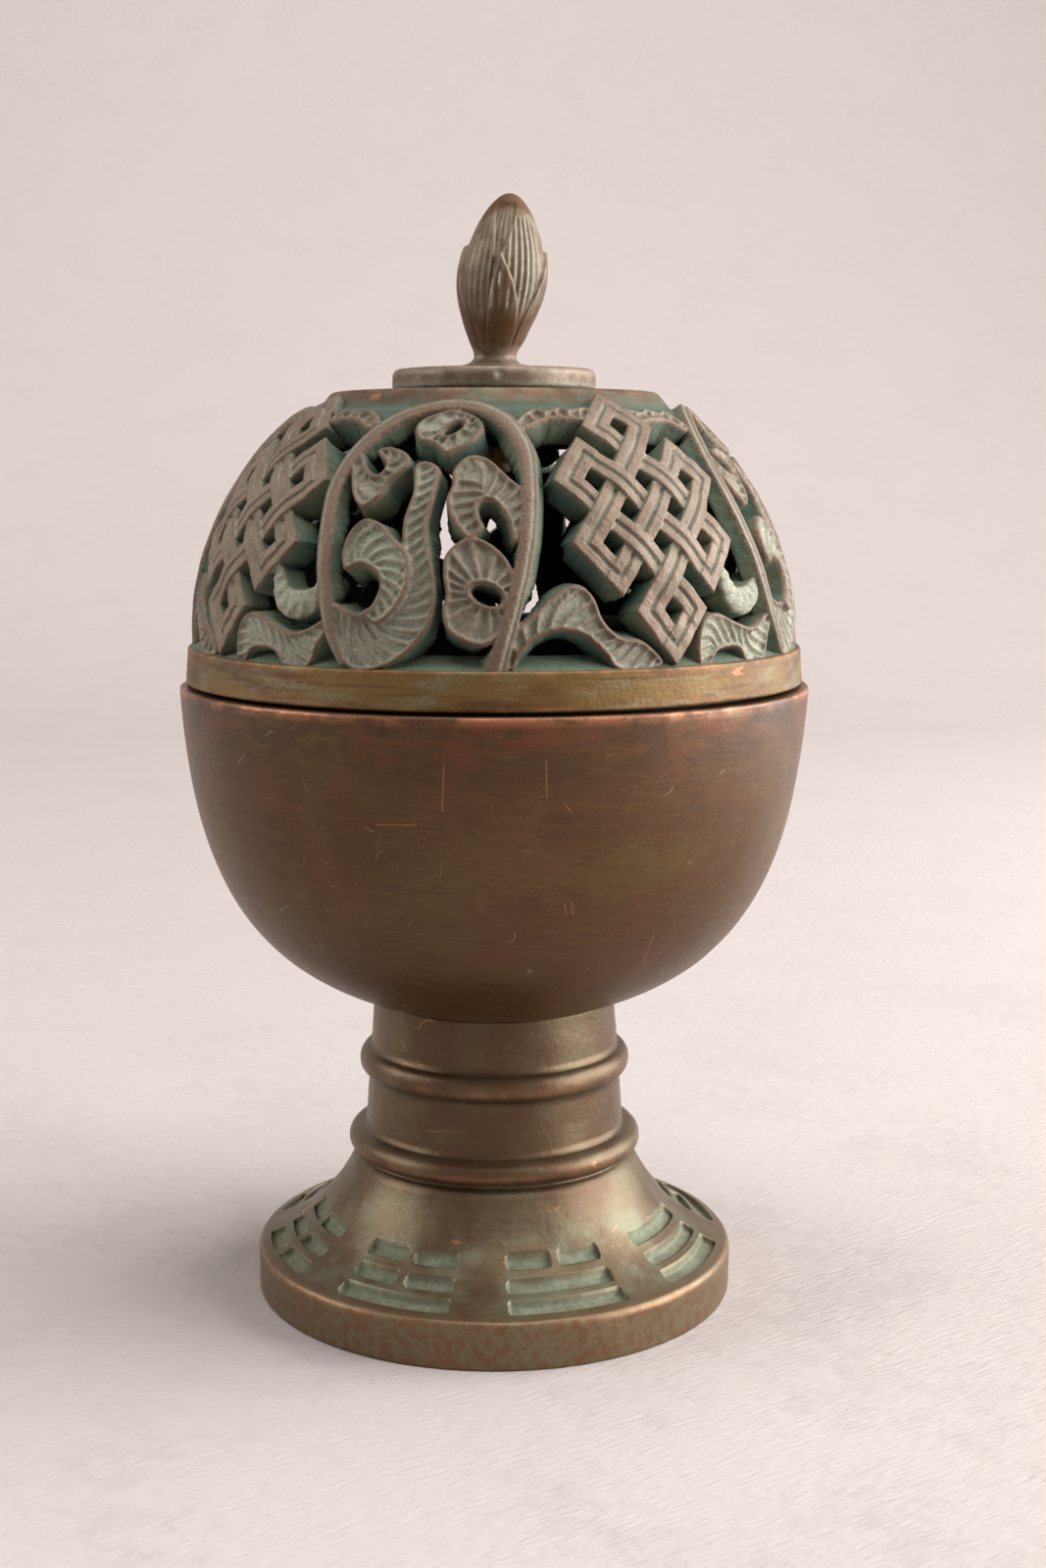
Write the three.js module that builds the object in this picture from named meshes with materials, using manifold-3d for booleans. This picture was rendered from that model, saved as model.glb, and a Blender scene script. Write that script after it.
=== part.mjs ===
// Brass incense burner: a footed bowl under a pierced, domed lid with a lotus-bud knob.
// Millimetres, +Z up. The origin is the centre of the ring that the foot stands on.
// Azimuth 0 faces -Y and grows towards +X.

import * as THREE from "three";
import { mergeVertices } from "three/addons/utils/BufferGeometryUtils.js";
import Module from "manifold-3d";

const wasm = await Module();
wasm.setup();

// Fits
const SEAT_GAP = 0.3; // between pieces that rest on or clamp one another
const BORE_CLEARANCE = 0.3; // radial, round bolt and stud
const LID_SEAT_GAP = 0.4; // the dark line between bowl rim and lid band
const SPIGOT_CLEARANCE = 0.4; // radial, lid spigot inside the bowl's mouth

// Foot and stem, one casting
const FOOT_RADIUS = 29.3;
const FOOT_RIM_HEIGHT = 5.3;
const FOOT_EDGE_ROUND = 0.7;
const FOOT_WALL = 3.6;
const FOOT_EDGE_RISE = 0.42; // from the rim's height to the start of the flare, over the rounded edge
const FOOT_RISE = 10.5; // from the start of the flare to its top
const FLARE_RADIUS = 17.4; // where the flare meets the lower bead
const FLARE_FOOT_HANDLE = new THREE.Vector2(-5.6, 2.2); // first curve handle, from the start of the flare
const FLARE_TOP_HANDLE = new THREE.Vector2(2.2, -5.0); // second curve handle, from the top of the flare
const FLARE_HOLLOW_SWELL = 1.2; // of the hollow under the flare, outside the radius of the flare's top
const STEM_RADIUS = 16.2; // at the lower bead
const STEM_TOP_RADIUS = 14.7;
const STEM_HEIGHT = 20.2; // from the top of the flare to the seat of the bowl
const STEM_WALL = 3.4;
const STEM_WEB = 4.5; // solid top of the stem that the bolt clamps
const LOWER_BEAD_RISE = 2.4; // bead centres above the top of the flare
const LOWER_BEAD_PROUD = 2.0;
const UPPER_BEAD_RISE = 12.3;
const UPPER_BEAD_PROUD = 1.3;
const BEAD_HALF_HEIGHT = 1.5;

// Trigrams sunk into the flare of the foot
const TRIGRAM_TURN = THREE.MathUtils.degToRad(18.8); // azimuth of the first trigram
const TRIGRAM_SWEEP = THREE.MathUtils.degToRad(31.2);
const TRIGRAM_BREAK = THREE.MathUtils.degToRad(2.8); // gap in a broken line
const TRIGRAM_MARGIN = 0.6; // from the outer line to the foot's edge
const TRIGRAM_LINE_WIDTHS = [2.0, 1.8, 1.6]; // outer, middle and inner line, measured radially
const TRIGRAM_LINE_GAP = 0.8;
const TRIGRAM_DEPTH = 0.8;
// Each row is one trigram from the outer line inwards, going round by eighths; true is an unbroken line.
const TRIGRAMS = [
  [true, true, false],
  [true, true, true],
  [true, false, true],
  [false, true, true],
  [false, true, false],
  [false, false, true],
  [false, false, false],
  [true, false, false],
];

// Bowl
const BOWL_RADIUS = 37.5;
const BOWL_HEIGHT = 38.1;
const BOWL_BASE_RADIUS = 14.9;
const BOWL_WALL = 3.0;
const BOWL_FLOOR = 3.5;
const BOWL_FLOOR_ROUND = 0.5; // least height over the floor where the wall's own curve takes over
const BOWL_FLOOR_SLOPE = 1.6; // run for each unit of rise between floor and wall
const BOWL_RIM_ROUND = 0.45;
const BOWL_SWELL = new THREE.Vector2(14.6, 5.1); // first curve handle, from the edge of the base
const BOWL_BELLY = new THREE.Vector2(-1.45, -23.7); // second curve handle, from the rim

// Bolt that holds the bowl to the stem
const BOLT_RADIUS = 3.0;
const BOLT_HEAD_RADIUS = 5.2;
const BOLT_HEAD_HEIGHT = 3.2;
const BOLT_EDGE = 0.6; // bevel of head and end
const BOLT_END = 1.5; // thread that stands past the nut
const BOLT_SLOT_WIDTH = 1.2;
const BOLT_SLOT_DEPTH = 1.4;
const WASHER_RADIUS = 6.6;
const WASHER_THICKNESS = 1.2;
const NUT_WALL = 1.9; // from the bore to a flat
const NUT_HEIGHT = 5.0;

// Loose incense holder that stands in the bowl
const HOLDER_FOOT_CLEARANCE = 2.6; // between bolt head and foot ring
const HOLDER_FOOT_WALL = 1.8;
const HOLDER_HEAD_ROOM = 1.0; // between bolt head and dish
const HOLDER_RADIUS = 14.0;
const HOLDER_DISH_THICKNESS = 1.6;
const HOLDER_LIP_HEIGHT = 3.0;
const HOLDER_LIP_WALL = 1.4;
const HOLDER_ROUND = 1.0; // inside the dish and round its foot ring
const HOLDER_SOCKET_RADIUS = 3.6;
const HOLDER_SOCKET_EDGE = 0.6;
const HOLDER_SOCKET_HEIGHT = 6.0;
const HOLDER_STICK_RADIUS = 1.6;

// Lid: band, spigot, pierced dome and crown are one casting
const BAND_SET_IN = 0.75; // of the band from the rim of the bowl
const BAND_TAPER = 0.28;
const BAND_HEIGHT = 4.25;
const BAND_ROUND = 0.4;
const SPIGOT_DEPTH = 4.0;
const SPIGOT_WALL = 2.8;
const DOME_SET_IN = 0.75; // of the faces of the ornament from the band
const DOME_CENTRE_DROP = 0.45; // of the dome's centre below the top of the band
const DOME_WALL = 3.4; // of the crown, from its own sunk ground
const RELIEF = 0.5; // unit of height of the ornament over the dome
const ORNAMENT_DEPTH = 3.2; // of its deepest pieces below the dome
const CROWN_SUNK = 0.7; // ground of the crown below the faces of the ornament
const CROWN_PLATE = 3.5;
const COLLAR_SET_IN = 1.4; // of the collar from the dome at its foot
const COLLAR_FOOT_RISE = 0.3; // of the fillet at the collar's foot
const COLLAR_HEIGHT = 2.2;
const COLLAR_TAPER = 1.2;

// Knob: disc, lotus bud and stud
const DISC_RADIUS = 12.0;
const DISC_HEIGHT = 2.4;
const DISC_ROUND = 0.6;
const STUD_RADIUS = 2.0;
const STUD_END = 1.2;
const STUD_WASHER_RADIUS = 5.0;
const STUD_WASHER_THICKNESS = 1.0;
const STUD_NUT_WALL = 1.7;
const STUD_NUT_HEIGHT = 3.0;
const BUD_FOOT_RADIUS = 3.9;
const BUD_FOOT_RISE = 0.3; // curve handle of the flared foot
const BUD_NECK_RADIUS = 2.5;
const BUD_NECK_RISE = 1.4;
const BUD_HEIGHT = 19.9;
const BUD_SWELL = new THREE.Vector2(3.1, 5.2); // first curve handle, from the neck
const BUD_TIP = new THREE.Vector2(6.8, -3.8); // second curve handle, from the tip
const BUD_LEAN = Math.tan(THREE.MathUtils.degToRad(4.5)); // sideways per unit of height, towards +X
const SEPAL_COUNT = 4;
const SEPAL_PROUD = 0.4;
const SEPAL_FOOT_RISE = 2.2;
const SEPAL_TIP_RISE = 13.2;
const SEPAL_HALF_WIDTH = 3.3;
const SEPAL_WIDEST = 0.5; // share of the tip's rise where a sepal is widest
const SEPAL_SHOULDER = new THREE.Vector2(0.75, 0.8); // handle below the tip, in shares of width and rise

// Facets
const BODY_SIDES = 36;
const SMALL_SIDES = 16;
const SWEEP_STEPS = 2; // along an unbroken trigram line
const EDGE_STEPS = 3; // round an edge
const FLARE_STEPS = 5;
const BOWL_STEPS = 9;
const BUD_STEPS = 10;
const BEAD_STEPS = 4; // round half a bead
const VINE_STEPS = 18;
const CRESCENT_STEPS = 6;
const EYE_SIDES = 8;
const FINE_STEPS = 60; // for reading a height off a curve

// Ornament of the lid, drawn flat in degrees of arc: x runs round the dome, y up it from its equator
const PANEL_COUNT = 4;
const SCROLL_TURN = THREE.MathUtils.degToRad(-12.6); // azimuth of the first scroll panel
const KNOT_TURN = SCROLL_TURN + Math.PI / PANEL_COUNT;
const CROWN_EDGE = THREE.MathUtils.degToRad(47.3); // up the dome, where the piercing stops
const COLLAR_FOOT = THREE.MathUtils.degToRad(51.9);

// Closed outlines of the leaves in a scroll panel; lift is how far a leaf stands out of the dome, as a share of
// RELIEF, and depth how far it goes in, as a share of ORNAMENT_DEPTH.
const SCROLL_LEAVES = [
  {
    name: "rising leaf",
    lift: -0.2,
    depth: 0.78,
    outline: [
      [-3.5, 36.9], [-1, 37.7], [1.3, 35.5], [0.8, 29.4], [0.2, 24.7], [1.9, 17.5], [2.6, 12.7],
      [1.6, 8], [-1.9, 3.5], [-7, 0.6], [-12.7, 0.6], [-16.6, 6.4], [-17.2, 11.8], [-14.3, 12.9],
      [-11.5, 10.5], [-7.3, 10.8], [-4.5, 14.6], [-4, 20.7], [-4.1, 26.3], [-3.2, 31.8],
    ],
  },
  {
    name: "inner curl",
    lift: 0.6,
    depth: 0.9,
    outline: [
      [-7.3, 8.1], [-3.8, 10.8], [-1.9, 15.3], [-2.4, 19.9], [-5.4, 23.1], [-7.6, 25.5], [-11, 26.3],
      [-13.7, 23.7], [-14.6, 19.7], [-13.7, 17], [-10.8, 18], [-8, 16.7], [-7.2, 14.3], [-8.4, 11.5],
      [-10.2, 10],
    ],
  },
  {
    name: "upper curl",
    lift: 0,
    depth: 0.81,
    outline: [
      [-11, 40.3], [-8.3, 40.9], [-5.1, 39.3], [-4.5, 36.4], [-7.5, 33.4], [-8.8, 30.4], [-11.8, 28.3],
      [-14, 30.2], [-15.3, 34.4], [-15.9, 39.2], [-13.7, 39.5], [-12.3, 36.4], [-10, 35], [-8.9, 37.1],
      [-10.5, 39.2],
    ],
  },
  {
    name: "flower",
    lift: 0,
    depth: 0.84,
    outline: [
      [-4.9, 45.4], [-3.2, 48.1], [1.3, 49.7], [5.7, 47.7], [7.3, 44.6], [5.7, 41.4], [3, 39.6],
      [1.4, 39.2], [-1, 41.1], [-3.7, 42.2],
    ],
    eye: { x: 2, y: 44.9, long: 1.9, short: 1, turn: 45 },
  },
  {
    name: "hooked leaf",
    lift: 0,
    depth: 0.77,
    outline: [
      [3.3, 36], [5.4, 38.8], [8.9, 38.4], [13.1, 34.4], [16.2, 31], [16.4, 24.7], [15, 22],
      [13.4, 26.4], [10.5, 29.8], [8.6, 29.3], [8.8, 27.1], [9.7, 24.8], [7.3, 22.8], [4.1, 26.1],
      [2.9, 29.9], [3.5, 32.9],
    ],
  },
  {
    name: "ring leaf",
    lift: -0.1,
    depth: 0.87,
    outline: [
      [3.8, 20.5], [7.3, 23.4], [11.5, 22], [14.6, 18.6], [15.9, 14.3], [15, 8.8], [12.1, 5.1],
      [8.3, 5.1], [4.6, 7.2], [3.7, 10.5], [4.1, 13.4], [3.5, 16.9],
    ],
    eye: { x: 11, y: 13.4, long: 2.7, short: 1.7, turn: -25 },
  },
  {
    name: "arched leaf",
    lift: -0.5,
    depth: 0.75,
    outline: [
      [15, 7], [19.4, 11], [23.2, 14.3], [26.4, 15.1], [29.3, 12.9], [31.2, 8.9], [34.4, 6.2],
      [38.5, 5.4], [42.7, 1.9], [40.7, 0.3], [34.1, 0.3], [31.2, 3.5], [27.4, 6.5], [23.2, 7.3],
      [19.4, 5.7], [16.9, 2.9], [15.8, 0.5], [13.7, 2.5],
    ],
  },
];
// Vine that arches over a scroll panel; its stations are x, y and half-width along its middle.
const VINE = {
  lift: 0.7,
  depth: 1,
  stations: [
    [12.7, 0.3, 2], [15, 8.3, 1.5], [16.7, 17.5, 1.4], [17.2, 25.5, 1.4], [16.4, 34.2, 1.5], [14.2, 41.4, 1.5],
    [9.5, 47.7, 1.5], [1.8, 51.1, 1.4], [-7, 48.4, 1.4], [-13.7, 41.9, 1.5], [-17.8, 33.1, 1.4], [-18.5, 23.1, 1.5],
    [-16.9, 12.7, 1.6], [-13.4, 3.5, 1.4],
  ],
};
// Leaves on the right of a knot, drawn from the knot's middle line
const KNOT_LEAVES = [
  {
    name: "resting leaf",
    lift: -0.5,
    depth: 0.74,
    outline: [
      [5.6, 0.3], [5.4, 5.7], [7.3, 8.9], [10.8, 9.4], [15.3, 7.8], [19.7, 6.5], [23.2, 7.2],
      [27.1, 9.1], [27.7, 6.7], [26.1, 4.1], [24.2, 0.3], [18.5, 0.3], [16.2, 2.7], [13.1, 3.2],
      [10, 2.5], [8.3, 0.3],
    ],
  },
];
const CRESCENT = {
  lift: -0.6,
  depth: 0.62,
  stations: [[13.4, 17.3, 1], [15.8, 12.3, 1.6], [19.1, 11, 2], [22.9, 12.1, 1.9], [26.4, 15.3, 1.6]],
};
// Endless knot: a lattice of straps, whose steps run down to the right and down to the left
const KNOT_RELIEF = { lift: 0.2, depth: 0.88 };
const KNOT_CENTRE = THREE.MathUtils.degToRad(27.9); // up the dome
const KNOT_STEP_ROUND = THREE.MathUtils.degToRad(4.8);
const KNOT_STEP_UP = THREE.MathUtils.degToRad(5.9);
const KNOT_STRAP = 0.255; // half the width of a strap, in lattice steps
// Corners round the knot: lattice place p, q and the side of the straps, -1 or 1, that the corner lies on
const KNOT_CORNERS = [
  [-1.5, -1.5, -1, -1], [-0.5, -1.5, 1, -1], [-0.5, -0.5, 1, -1], [0.5, -0.5, -1, -1], [0.5, -1.5, -1, -1],
  [1.5, -1.5, 1, -1], [1.5, -0.5, 1, -1], [2.5, -0.5, 1, -1], [2.5, 0.5, 1, 1], [1.5, 0.5, 1, 1],
  [1.5, 1.5, 1, -1], [2.5, 1.5, 1, -1], [2.5, 2.5, 1, 1], [1.5, 2.5, -1, 1], [1.5, 1.5, -1, 1],
  [0.5, 1.5, 1, 1], [0.5, 2.5, 1, 1], [-0.5, 2.5, -1, 1], [-0.5, 1.5, -1, 1], [-1.5, 1.5, -1, 1],
  [-1.5, 0.5, -1, -1], [-0.5, 0.5, -1, -1], [-0.5, -0.5, -1, 1], [-1.5, -0.5, -1, 1],
];
const KNOT_HOLES = [[-1, -1], [-1, 1], [1, -1], [0, 0], [1, 0], [0, 1], [1, 1], [0, 2], [2, 0], [2, 2]];

// Heights that follow from the sizes above
const flareFoot = FOOT_RIM_HEIGHT + FOOT_EDGE_RISE;
const flareTop = flareFoot + FOOT_RISE;
const stemTop = flareTop + STEM_HEIGHT;
const bowlBase = stemTop + SEAT_GAP;
const bowlFloor = bowlBase + BOWL_FLOOR;
const bowlRim = bowlBase + BOWL_HEIGHT;
const lidBase = bowlRim + LID_SEAT_GAP;
const bandTop = lidBase + BAND_HEIGHT;
const domeCentre = bandTop - DOME_CENTRE_DROP;
const bandRadius = BOWL_RADIUS - BAND_SET_IN;
const domeRadius = bandRadius - DOME_SET_IN;
const collarFoot = domeCentre + (domeRadius - CROWN_SUNK) * Math.sin(COLLAR_FOOT);
const collarTop = collarFoot + COLLAR_HEIGHT;
const crownUnder = collarTop - CROWN_PLATE;
const discBase = collarTop + SEAT_GAP;
const budBase = discBase + DISC_HEIGHT + SEAT_GAP;
const budNeck = budBase + BUD_NECK_RISE;
const budTop = budBase + BUD_HEIGHT;
const boltBore = BOLT_RADIUS + BORE_CLEARANCE;
const studBore = STUD_RADIUS + BORE_CLEARANCE;
const mouthRadius = BOWL_RADIUS - BOWL_WALL;

// Solids

function closedMesh(geometry) {
  geometry.deleteAttribute("normal");
  geometry.deleteAttribute("uv");
  const merged = mergeVertices(geometry, 1e-5);
  const corners = merged.index.array;
  const kept = [];
  for (let i = 0; i < corners.length; i += 3) {
    const [a, b, c] = corners.slice(i, i + 3);
    if (a !== b && b !== c && c !== a) kept.push(a, b, c);
  }
  merged.setIndex(kept);
  return merged;
}

function solidOf(geometry) {
  const merged = closedMesh(geometry);
  const mesh = new wasm.Mesh({
    numProp: 3,
    vertProperties: new Float32Array(merged.attributes.position.array),
    triVerts: new Uint32Array(merged.index.array),
  });
  return new wasm.Manifold(mesh);
}

function geometryOf(solid) {
  const mesh = solid.getMesh();
  return new THREE.BufferGeometry()
    .setAttribute("position", new THREE.BufferAttribute(new Float32Array(mesh.vertProperties), 3))
    .setIndex(new THREE.BufferAttribute(new Uint32Array(mesh.triVerts), 1));
}

// Turns a closed profile of [radius, height] points, listed up the outside and down the inside, about +Z.
function turned(profile, sides) {
  const closed = [...profile, profile[0]];
  const points = closed.map(([radius, height]) => new THREE.Vector2(radius, height));
  return new THREE.LatheGeometry(points, sides).rotateX(Math.PI / 2);
}

function turnedSolid(profile, sides) {
  return solidOf(turned(profile, sides));
}

// A quarter round from one point to another, bulging towards the corner between them.
function rounded(from, corner, to, steps) {
  const curve = new THREE.QuadraticBezierCurve(
    new THREE.Vector2(...from),
    new THREE.Vector2(...corner),
    new THREE.Vector2(...to),
  );
  return curve.getPoints(steps).map((point) => [point.x, point.y]);
}

function hexNut(bore, wall, height) {
  const flats = bore + wall;
  const shape = new THREE.Shape();
  for (let corner = 0; corner < 6; corner++) {
    const turn = (corner * Math.PI) / 3;
    const reach = flats / Math.cos(Math.PI / 6);
    const place = [reach * Math.cos(turn), reach * Math.sin(turn)];
    if (corner === 0) shape.moveTo(...place);
    else shape.lineTo(...place);
  }
  shape.holes.push(new THREE.Path().absarc(0, 0, bore, 0, 2 * Math.PI, true));
  const settings = { depth: height, bevelEnabled: false, curveSegments: SMALL_SIDES / 2 };
  return new THREE.ExtrudeGeometry(shape, settings);
}

// Pedestal: foot, flare and beaded stem

const flareCurve = new THREE.CubicBezierCurve(
  new THREE.Vector2(FOOT_RADIUS - FOOT_EDGE_ROUND, flareFoot),
  new THREE.Vector2(FOOT_RADIUS - FOOT_EDGE_ROUND, flareFoot).add(FLARE_FOOT_HANDLE),
  new THREE.Vector2(FLARE_RADIUS, flareTop).add(FLARE_TOP_HANDLE),
  new THREE.Vector2(FLARE_RADIUS, flareTop),
);

// Height of the flare's surface at a radius.
function flareHeight(radius) {
  const points = flareCurve.getPoints(FINE_STEPS);
  const outer = points.findIndex((point) => point.x <= radius);
  if (outer < 1) return radius >= points[0].x ? points[0].y : points[points.length - 1].y;
  const [a, b] = [points[outer - 1], points[outer]];
  return a.y + ((b.y - a.y) * (radius - a.x)) / (b.x - a.x);
}

function stemRadius(height) {
  const share = (height - flareTop) / STEM_HEIGHT;
  return THREE.MathUtils.lerp(STEM_RADIUS, STEM_TOP_RADIUS, share);
}

// A half-round moulding on the stem, from below to above.
function bead(rise, proud) {
  const points = [];
  for (let step = 0; step <= BEAD_STEPS; step++) {
    const angle = Math.PI * (step / BEAD_STEPS - 0.5);
    const height = flareTop + rise + BEAD_HALF_HEIGHT * Math.sin(angle);
    points.push([stemRadius(height) + proud * Math.cos(angle), height]);
  }
  return points;
}

function pedestalProfile() {
  const footInside = FOOT_RADIUS - FOOT_WALL;
  const edge = FOOT_RIM_HEIGHT - FOOT_EDGE_ROUND;
  const flare = flareCurve.getPoints(FLARE_STEPS).map((point) => [point.x, point.y]);
  const webUnder = stemTop - STEM_WEB;
  return [
    [FOOT_RADIUS, 0],
    ...rounded([FOOT_RADIUS, edge], [FOOT_RADIUS, flare[0][1]], flare[0], EDGE_STEPS),
    ...flare.slice(1),
    ...bead(LOWER_BEAD_RISE, LOWER_BEAD_PROUD),
    ...bead(UPPER_BEAD_RISE, UPPER_BEAD_PROUD),
    [STEM_TOP_RADIUS, stemTop],
    [boltBore, stemTop],
    [boltBore, webUnder],
    [stemRadius(webUnder) - STEM_WALL, webUnder],
    [STEM_RADIUS - STEM_WALL, flareTop - STEM_WALL],
    [FLARE_RADIUS + FLARE_HOLLOW_SWELL, flareTop + FLARE_TOP_HANDLE.y - STEM_WALL],
    [footInside, flareFoot - STEM_WALL],
    [footInside, 0],
  ];
}

// One line of a trigram: a curved bar that follows the flare, from its sunk floor to above the surface.
function trigramLine(innerRadius, outerRadius, startTurn, endTurn) {
  const steps = Math.ceil((SWEEP_STEPS * (endTurn - startTurn)) / TRIGRAM_SWEEP);
  const bar = new THREE.BoxGeometry(1, 1, 1, steps, 1, 1);
  const position = bar.attributes.position;
  for (let i = 0; i < position.count; i++) {
    const turn = THREE.MathUtils.lerp(startTurn, endTurn, position.getX(i) + 0.5);
    const radius = THREE.MathUtils.lerp(outerRadius, innerRadius, position.getY(i) + 0.5);
    const offset = position.getZ(i) < 0 ? -TRIGRAM_DEPTH : TRIGRAM_DEPTH;
    const height = flareHeight(radius) + offset;
    position.setXYZ(i, radius * Math.sin(turn), -radius * Math.cos(turn), height);
  }
  return solidOf(bar);
}

function trigramCuts() {
  const cuts = [];
  TRIGRAMS.forEach((lines, place) => {
    const middle = TRIGRAM_TURN + (place * 2 * Math.PI) / TRIGRAMS.length;
    let outer = FOOT_RADIUS - FOOT_EDGE_ROUND - TRIGRAM_MARGIN;
    lines.forEach((unbroken, row) => {
      const inner = outer - TRIGRAM_LINE_WIDTHS[row];
      const half = TRIGRAM_SWEEP / 2;
      if (unbroken) {
        cuts.push(trigramLine(inner, outer, middle - half, middle + half));
      } else {
        cuts.push(trigramLine(inner, outer, middle - half, middle - TRIGRAM_BREAK / 2));
        cuts.push(trigramLine(inner, outer, middle + TRIGRAM_BREAK / 2, middle + half));
      }
      outer = inner - TRIGRAM_LINE_GAP;
    });
  });
  return cuts;
}

function pedestal() {
  const casting = turnedSolid(pedestalProfile(), BODY_SIDES);
  return geometryOf(trigramCuts().reduce((solid, cut) => solid.subtract(cut), casting));
}

// Bowl

function offsetInwards(points, distance) {
  return points.map((point, i) => {
    const before = points[Math.max(i - 1, 0)];
    const after = points[Math.min(i + 1, points.length - 1)];
    const along = after.clone().sub(before).normalize();
    return new THREE.Vector2(point.x - along.y * distance, point.y + along.x * distance);
  });
}

function bowl() {
  const rim = new THREE.Vector2(BOWL_RADIUS, bowlRim - BOWL_RIM_ROUND);
  const base = new THREE.Vector2(BOWL_BASE_RADIUS, bowlBase);
  const swell = base.clone().add(BOWL_SWELL);
  const belly = rim.clone().add(BOWL_BELLY);
  const curve = new THREE.CubicBezierCurve(base, swell, belly, rim);
  const outside = curve.getPoints(BOWL_STEPS);
  const inside = offsetInwards(outside, BOWL_WALL).filter((point) => point.y > bowlFloor + BOWL_FLOOR_ROUND);
  inside.pop();
  const floorEdge = inside[0].x - (inside[0].y - bowlFloor) * BOWL_FLOOR_SLOPE;
  const profile = [
    ...outside.map((point) => [point.x, point.y]),
    [BOWL_RADIUS - BOWL_RIM_ROUND, bowlRim],
    [mouthRadius, bowlRim],
    ...inside.reverse().map((point) => [point.x, point.y]),
    [floorEdge, bowlFloor],
    [boltBore, bowlFloor],
    [boltBore, bowlBase],
  ];
  return turned(profile, BODY_SIDES);
}

// Bolt, washer and nut that clamp bowl and stem

const boltHeadBase = bowlFloor + SEAT_GAP;
const stemWasherTop = stemTop - STEM_WEB - SEAT_GAP;
const stemNutTop = stemWasherTop - WASHER_THICKNESS - SEAT_GAP;
const boltEnd = stemNutTop - NUT_HEIGHT - BOLT_END;

function stemBolt() {
  const headTop = boltHeadBase + BOLT_HEAD_HEIGHT;
  const body = turnedSolid(
    [
      [0, boltEnd],
      [BOLT_RADIUS - BOLT_EDGE, boltEnd],
      [BOLT_RADIUS, boltEnd + BOLT_EDGE],
      [BOLT_RADIUS, boltHeadBase],
      [BOLT_HEAD_RADIUS, boltHeadBase],
      [BOLT_HEAD_RADIUS, headTop - BOLT_EDGE],
      [BOLT_HEAD_RADIUS - BOLT_EDGE, headTop],
      [0, headTop],
    ],
    SMALL_SIDES,
  );
  const slot = new THREE.BoxGeometry(3 * BOLT_HEAD_RADIUS, BOLT_SLOT_WIDTH, 2 * BOLT_SLOT_DEPTH);
  return geometryOf(body.subtract(solidOf(slot.translate(0, 0, headTop))));
}

function washer(bore, radius, thickness, top) {
  return turned([[bore, top - thickness], [radius, top - thickness], [radius, top], [bore, top]], SMALL_SIDES);
}

// Incense holder: a small turned dish on a foot ring, with a socket for a stick

function incenseHolder() {
  const base = bowlFloor + SEAT_GAP;
  const ringInside = BOLT_HEAD_RADIUS + HOLDER_FOOT_CLEARANCE;
  const ringOutside = ringInside + HOLDER_FOOT_WALL;
  const dishUnder = boltHeadBase + BOLT_HEAD_HEIGHT + HOLDER_HEAD_ROOM;
  const underEdge = ringOutside + HOLDER_ROUND;
  const dishTop = dishUnder + HOLDER_DISH_THICKNESS;
  const lipTop = dishTop + HOLDER_LIP_HEIGHT;
  const lipInside = HOLDER_RADIUS - HOLDER_LIP_WALL;
  const socketTop = dishTop + HOLDER_SOCKET_HEIGHT;
  const profile = [
    [0, dishUnder],
    [ringInside, dishUnder],
    [ringInside, base],
    [ringOutside, base],
    [ringOutside, dishUnder],
    ...rounded([underEdge, dishUnder], [HOLDER_RADIUS, dishUnder], [HOLDER_RADIUS, lipTop], EDGE_STEPS),
    [lipInside, lipTop],
    [lipInside, dishTop + HOLDER_ROUND],
    [lipInside - HOLDER_ROUND, dishTop],
    [HOLDER_SOCKET_RADIUS, dishTop],
    [HOLDER_SOCKET_RADIUS, socketTop - HOLDER_SOCKET_EDGE],
    [HOLDER_SOCKET_RADIUS - HOLDER_SOCKET_EDGE, socketTop],
    [HOLDER_STICK_RADIUS, socketTop],
    [HOLDER_STICK_RADIUS, dishTop],
    [0, dishTop],
  ];
  return turned(profile, SMALL_SIDES);
}

// Lid

function inRadians(drawn) {
  return drawn.map((degrees) => THREE.MathUtils.degToRad(degrees));
}

// A closed outline through hand-placed points, with an eye pierced through some leaves.
function leafShape(leaf) {
  const shape = new THREE.Shape(leaf.outline.map((place) => new THREE.Vector2(...inRadians(place))));
  if (leaf.eye) {
    const { x, y, long, short, turn } = leaf.eye;
    const [middleX, middleY, halfLong, halfShort, tilt] = inRadians([x, y, long, short, turn]);
    const hole = new THREE.EllipseCurve(middleX, middleY, halfLong, halfShort, 0, 2 * Math.PI, false, tilt);
    shape.holes.push(new THREE.Path(hole.getPoints(EYE_SIDES).slice(0, -1)));
  }
  return shape;
}

// The outline of a stem that swells and thins along a smooth middle line.
function stemShape(stations, steps) {
  const curve = new THREE.CatmullRomCurve3(
    stations.map((station) => new THREE.Vector3(...inRadians(station))),
    false,
    "centripetal",
  );
  const left = [];
  const right = [];
  for (let i = 0; i <= steps; i++) {
    const middle = curve.getPoint(i / steps);
    const along = curve.getTangent(i / steps);
    const across = new THREE.Vector2(-along.y, along.x).setLength(middle.z);
    left.push(new THREE.Vector2(middle.x + across.x, middle.y + across.y));
    right.unshift(new THREE.Vector2(middle.x - across.x, middle.y - across.y));
  }
  return new THREE.Shape([...left, ...right]);
}

function knotPlace(p, q) {
  return new THREE.Vector2((p - q) * KNOT_STEP_ROUND, KNOT_CENTRE - (p + q - 1) * KNOT_STEP_UP);
}

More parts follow.
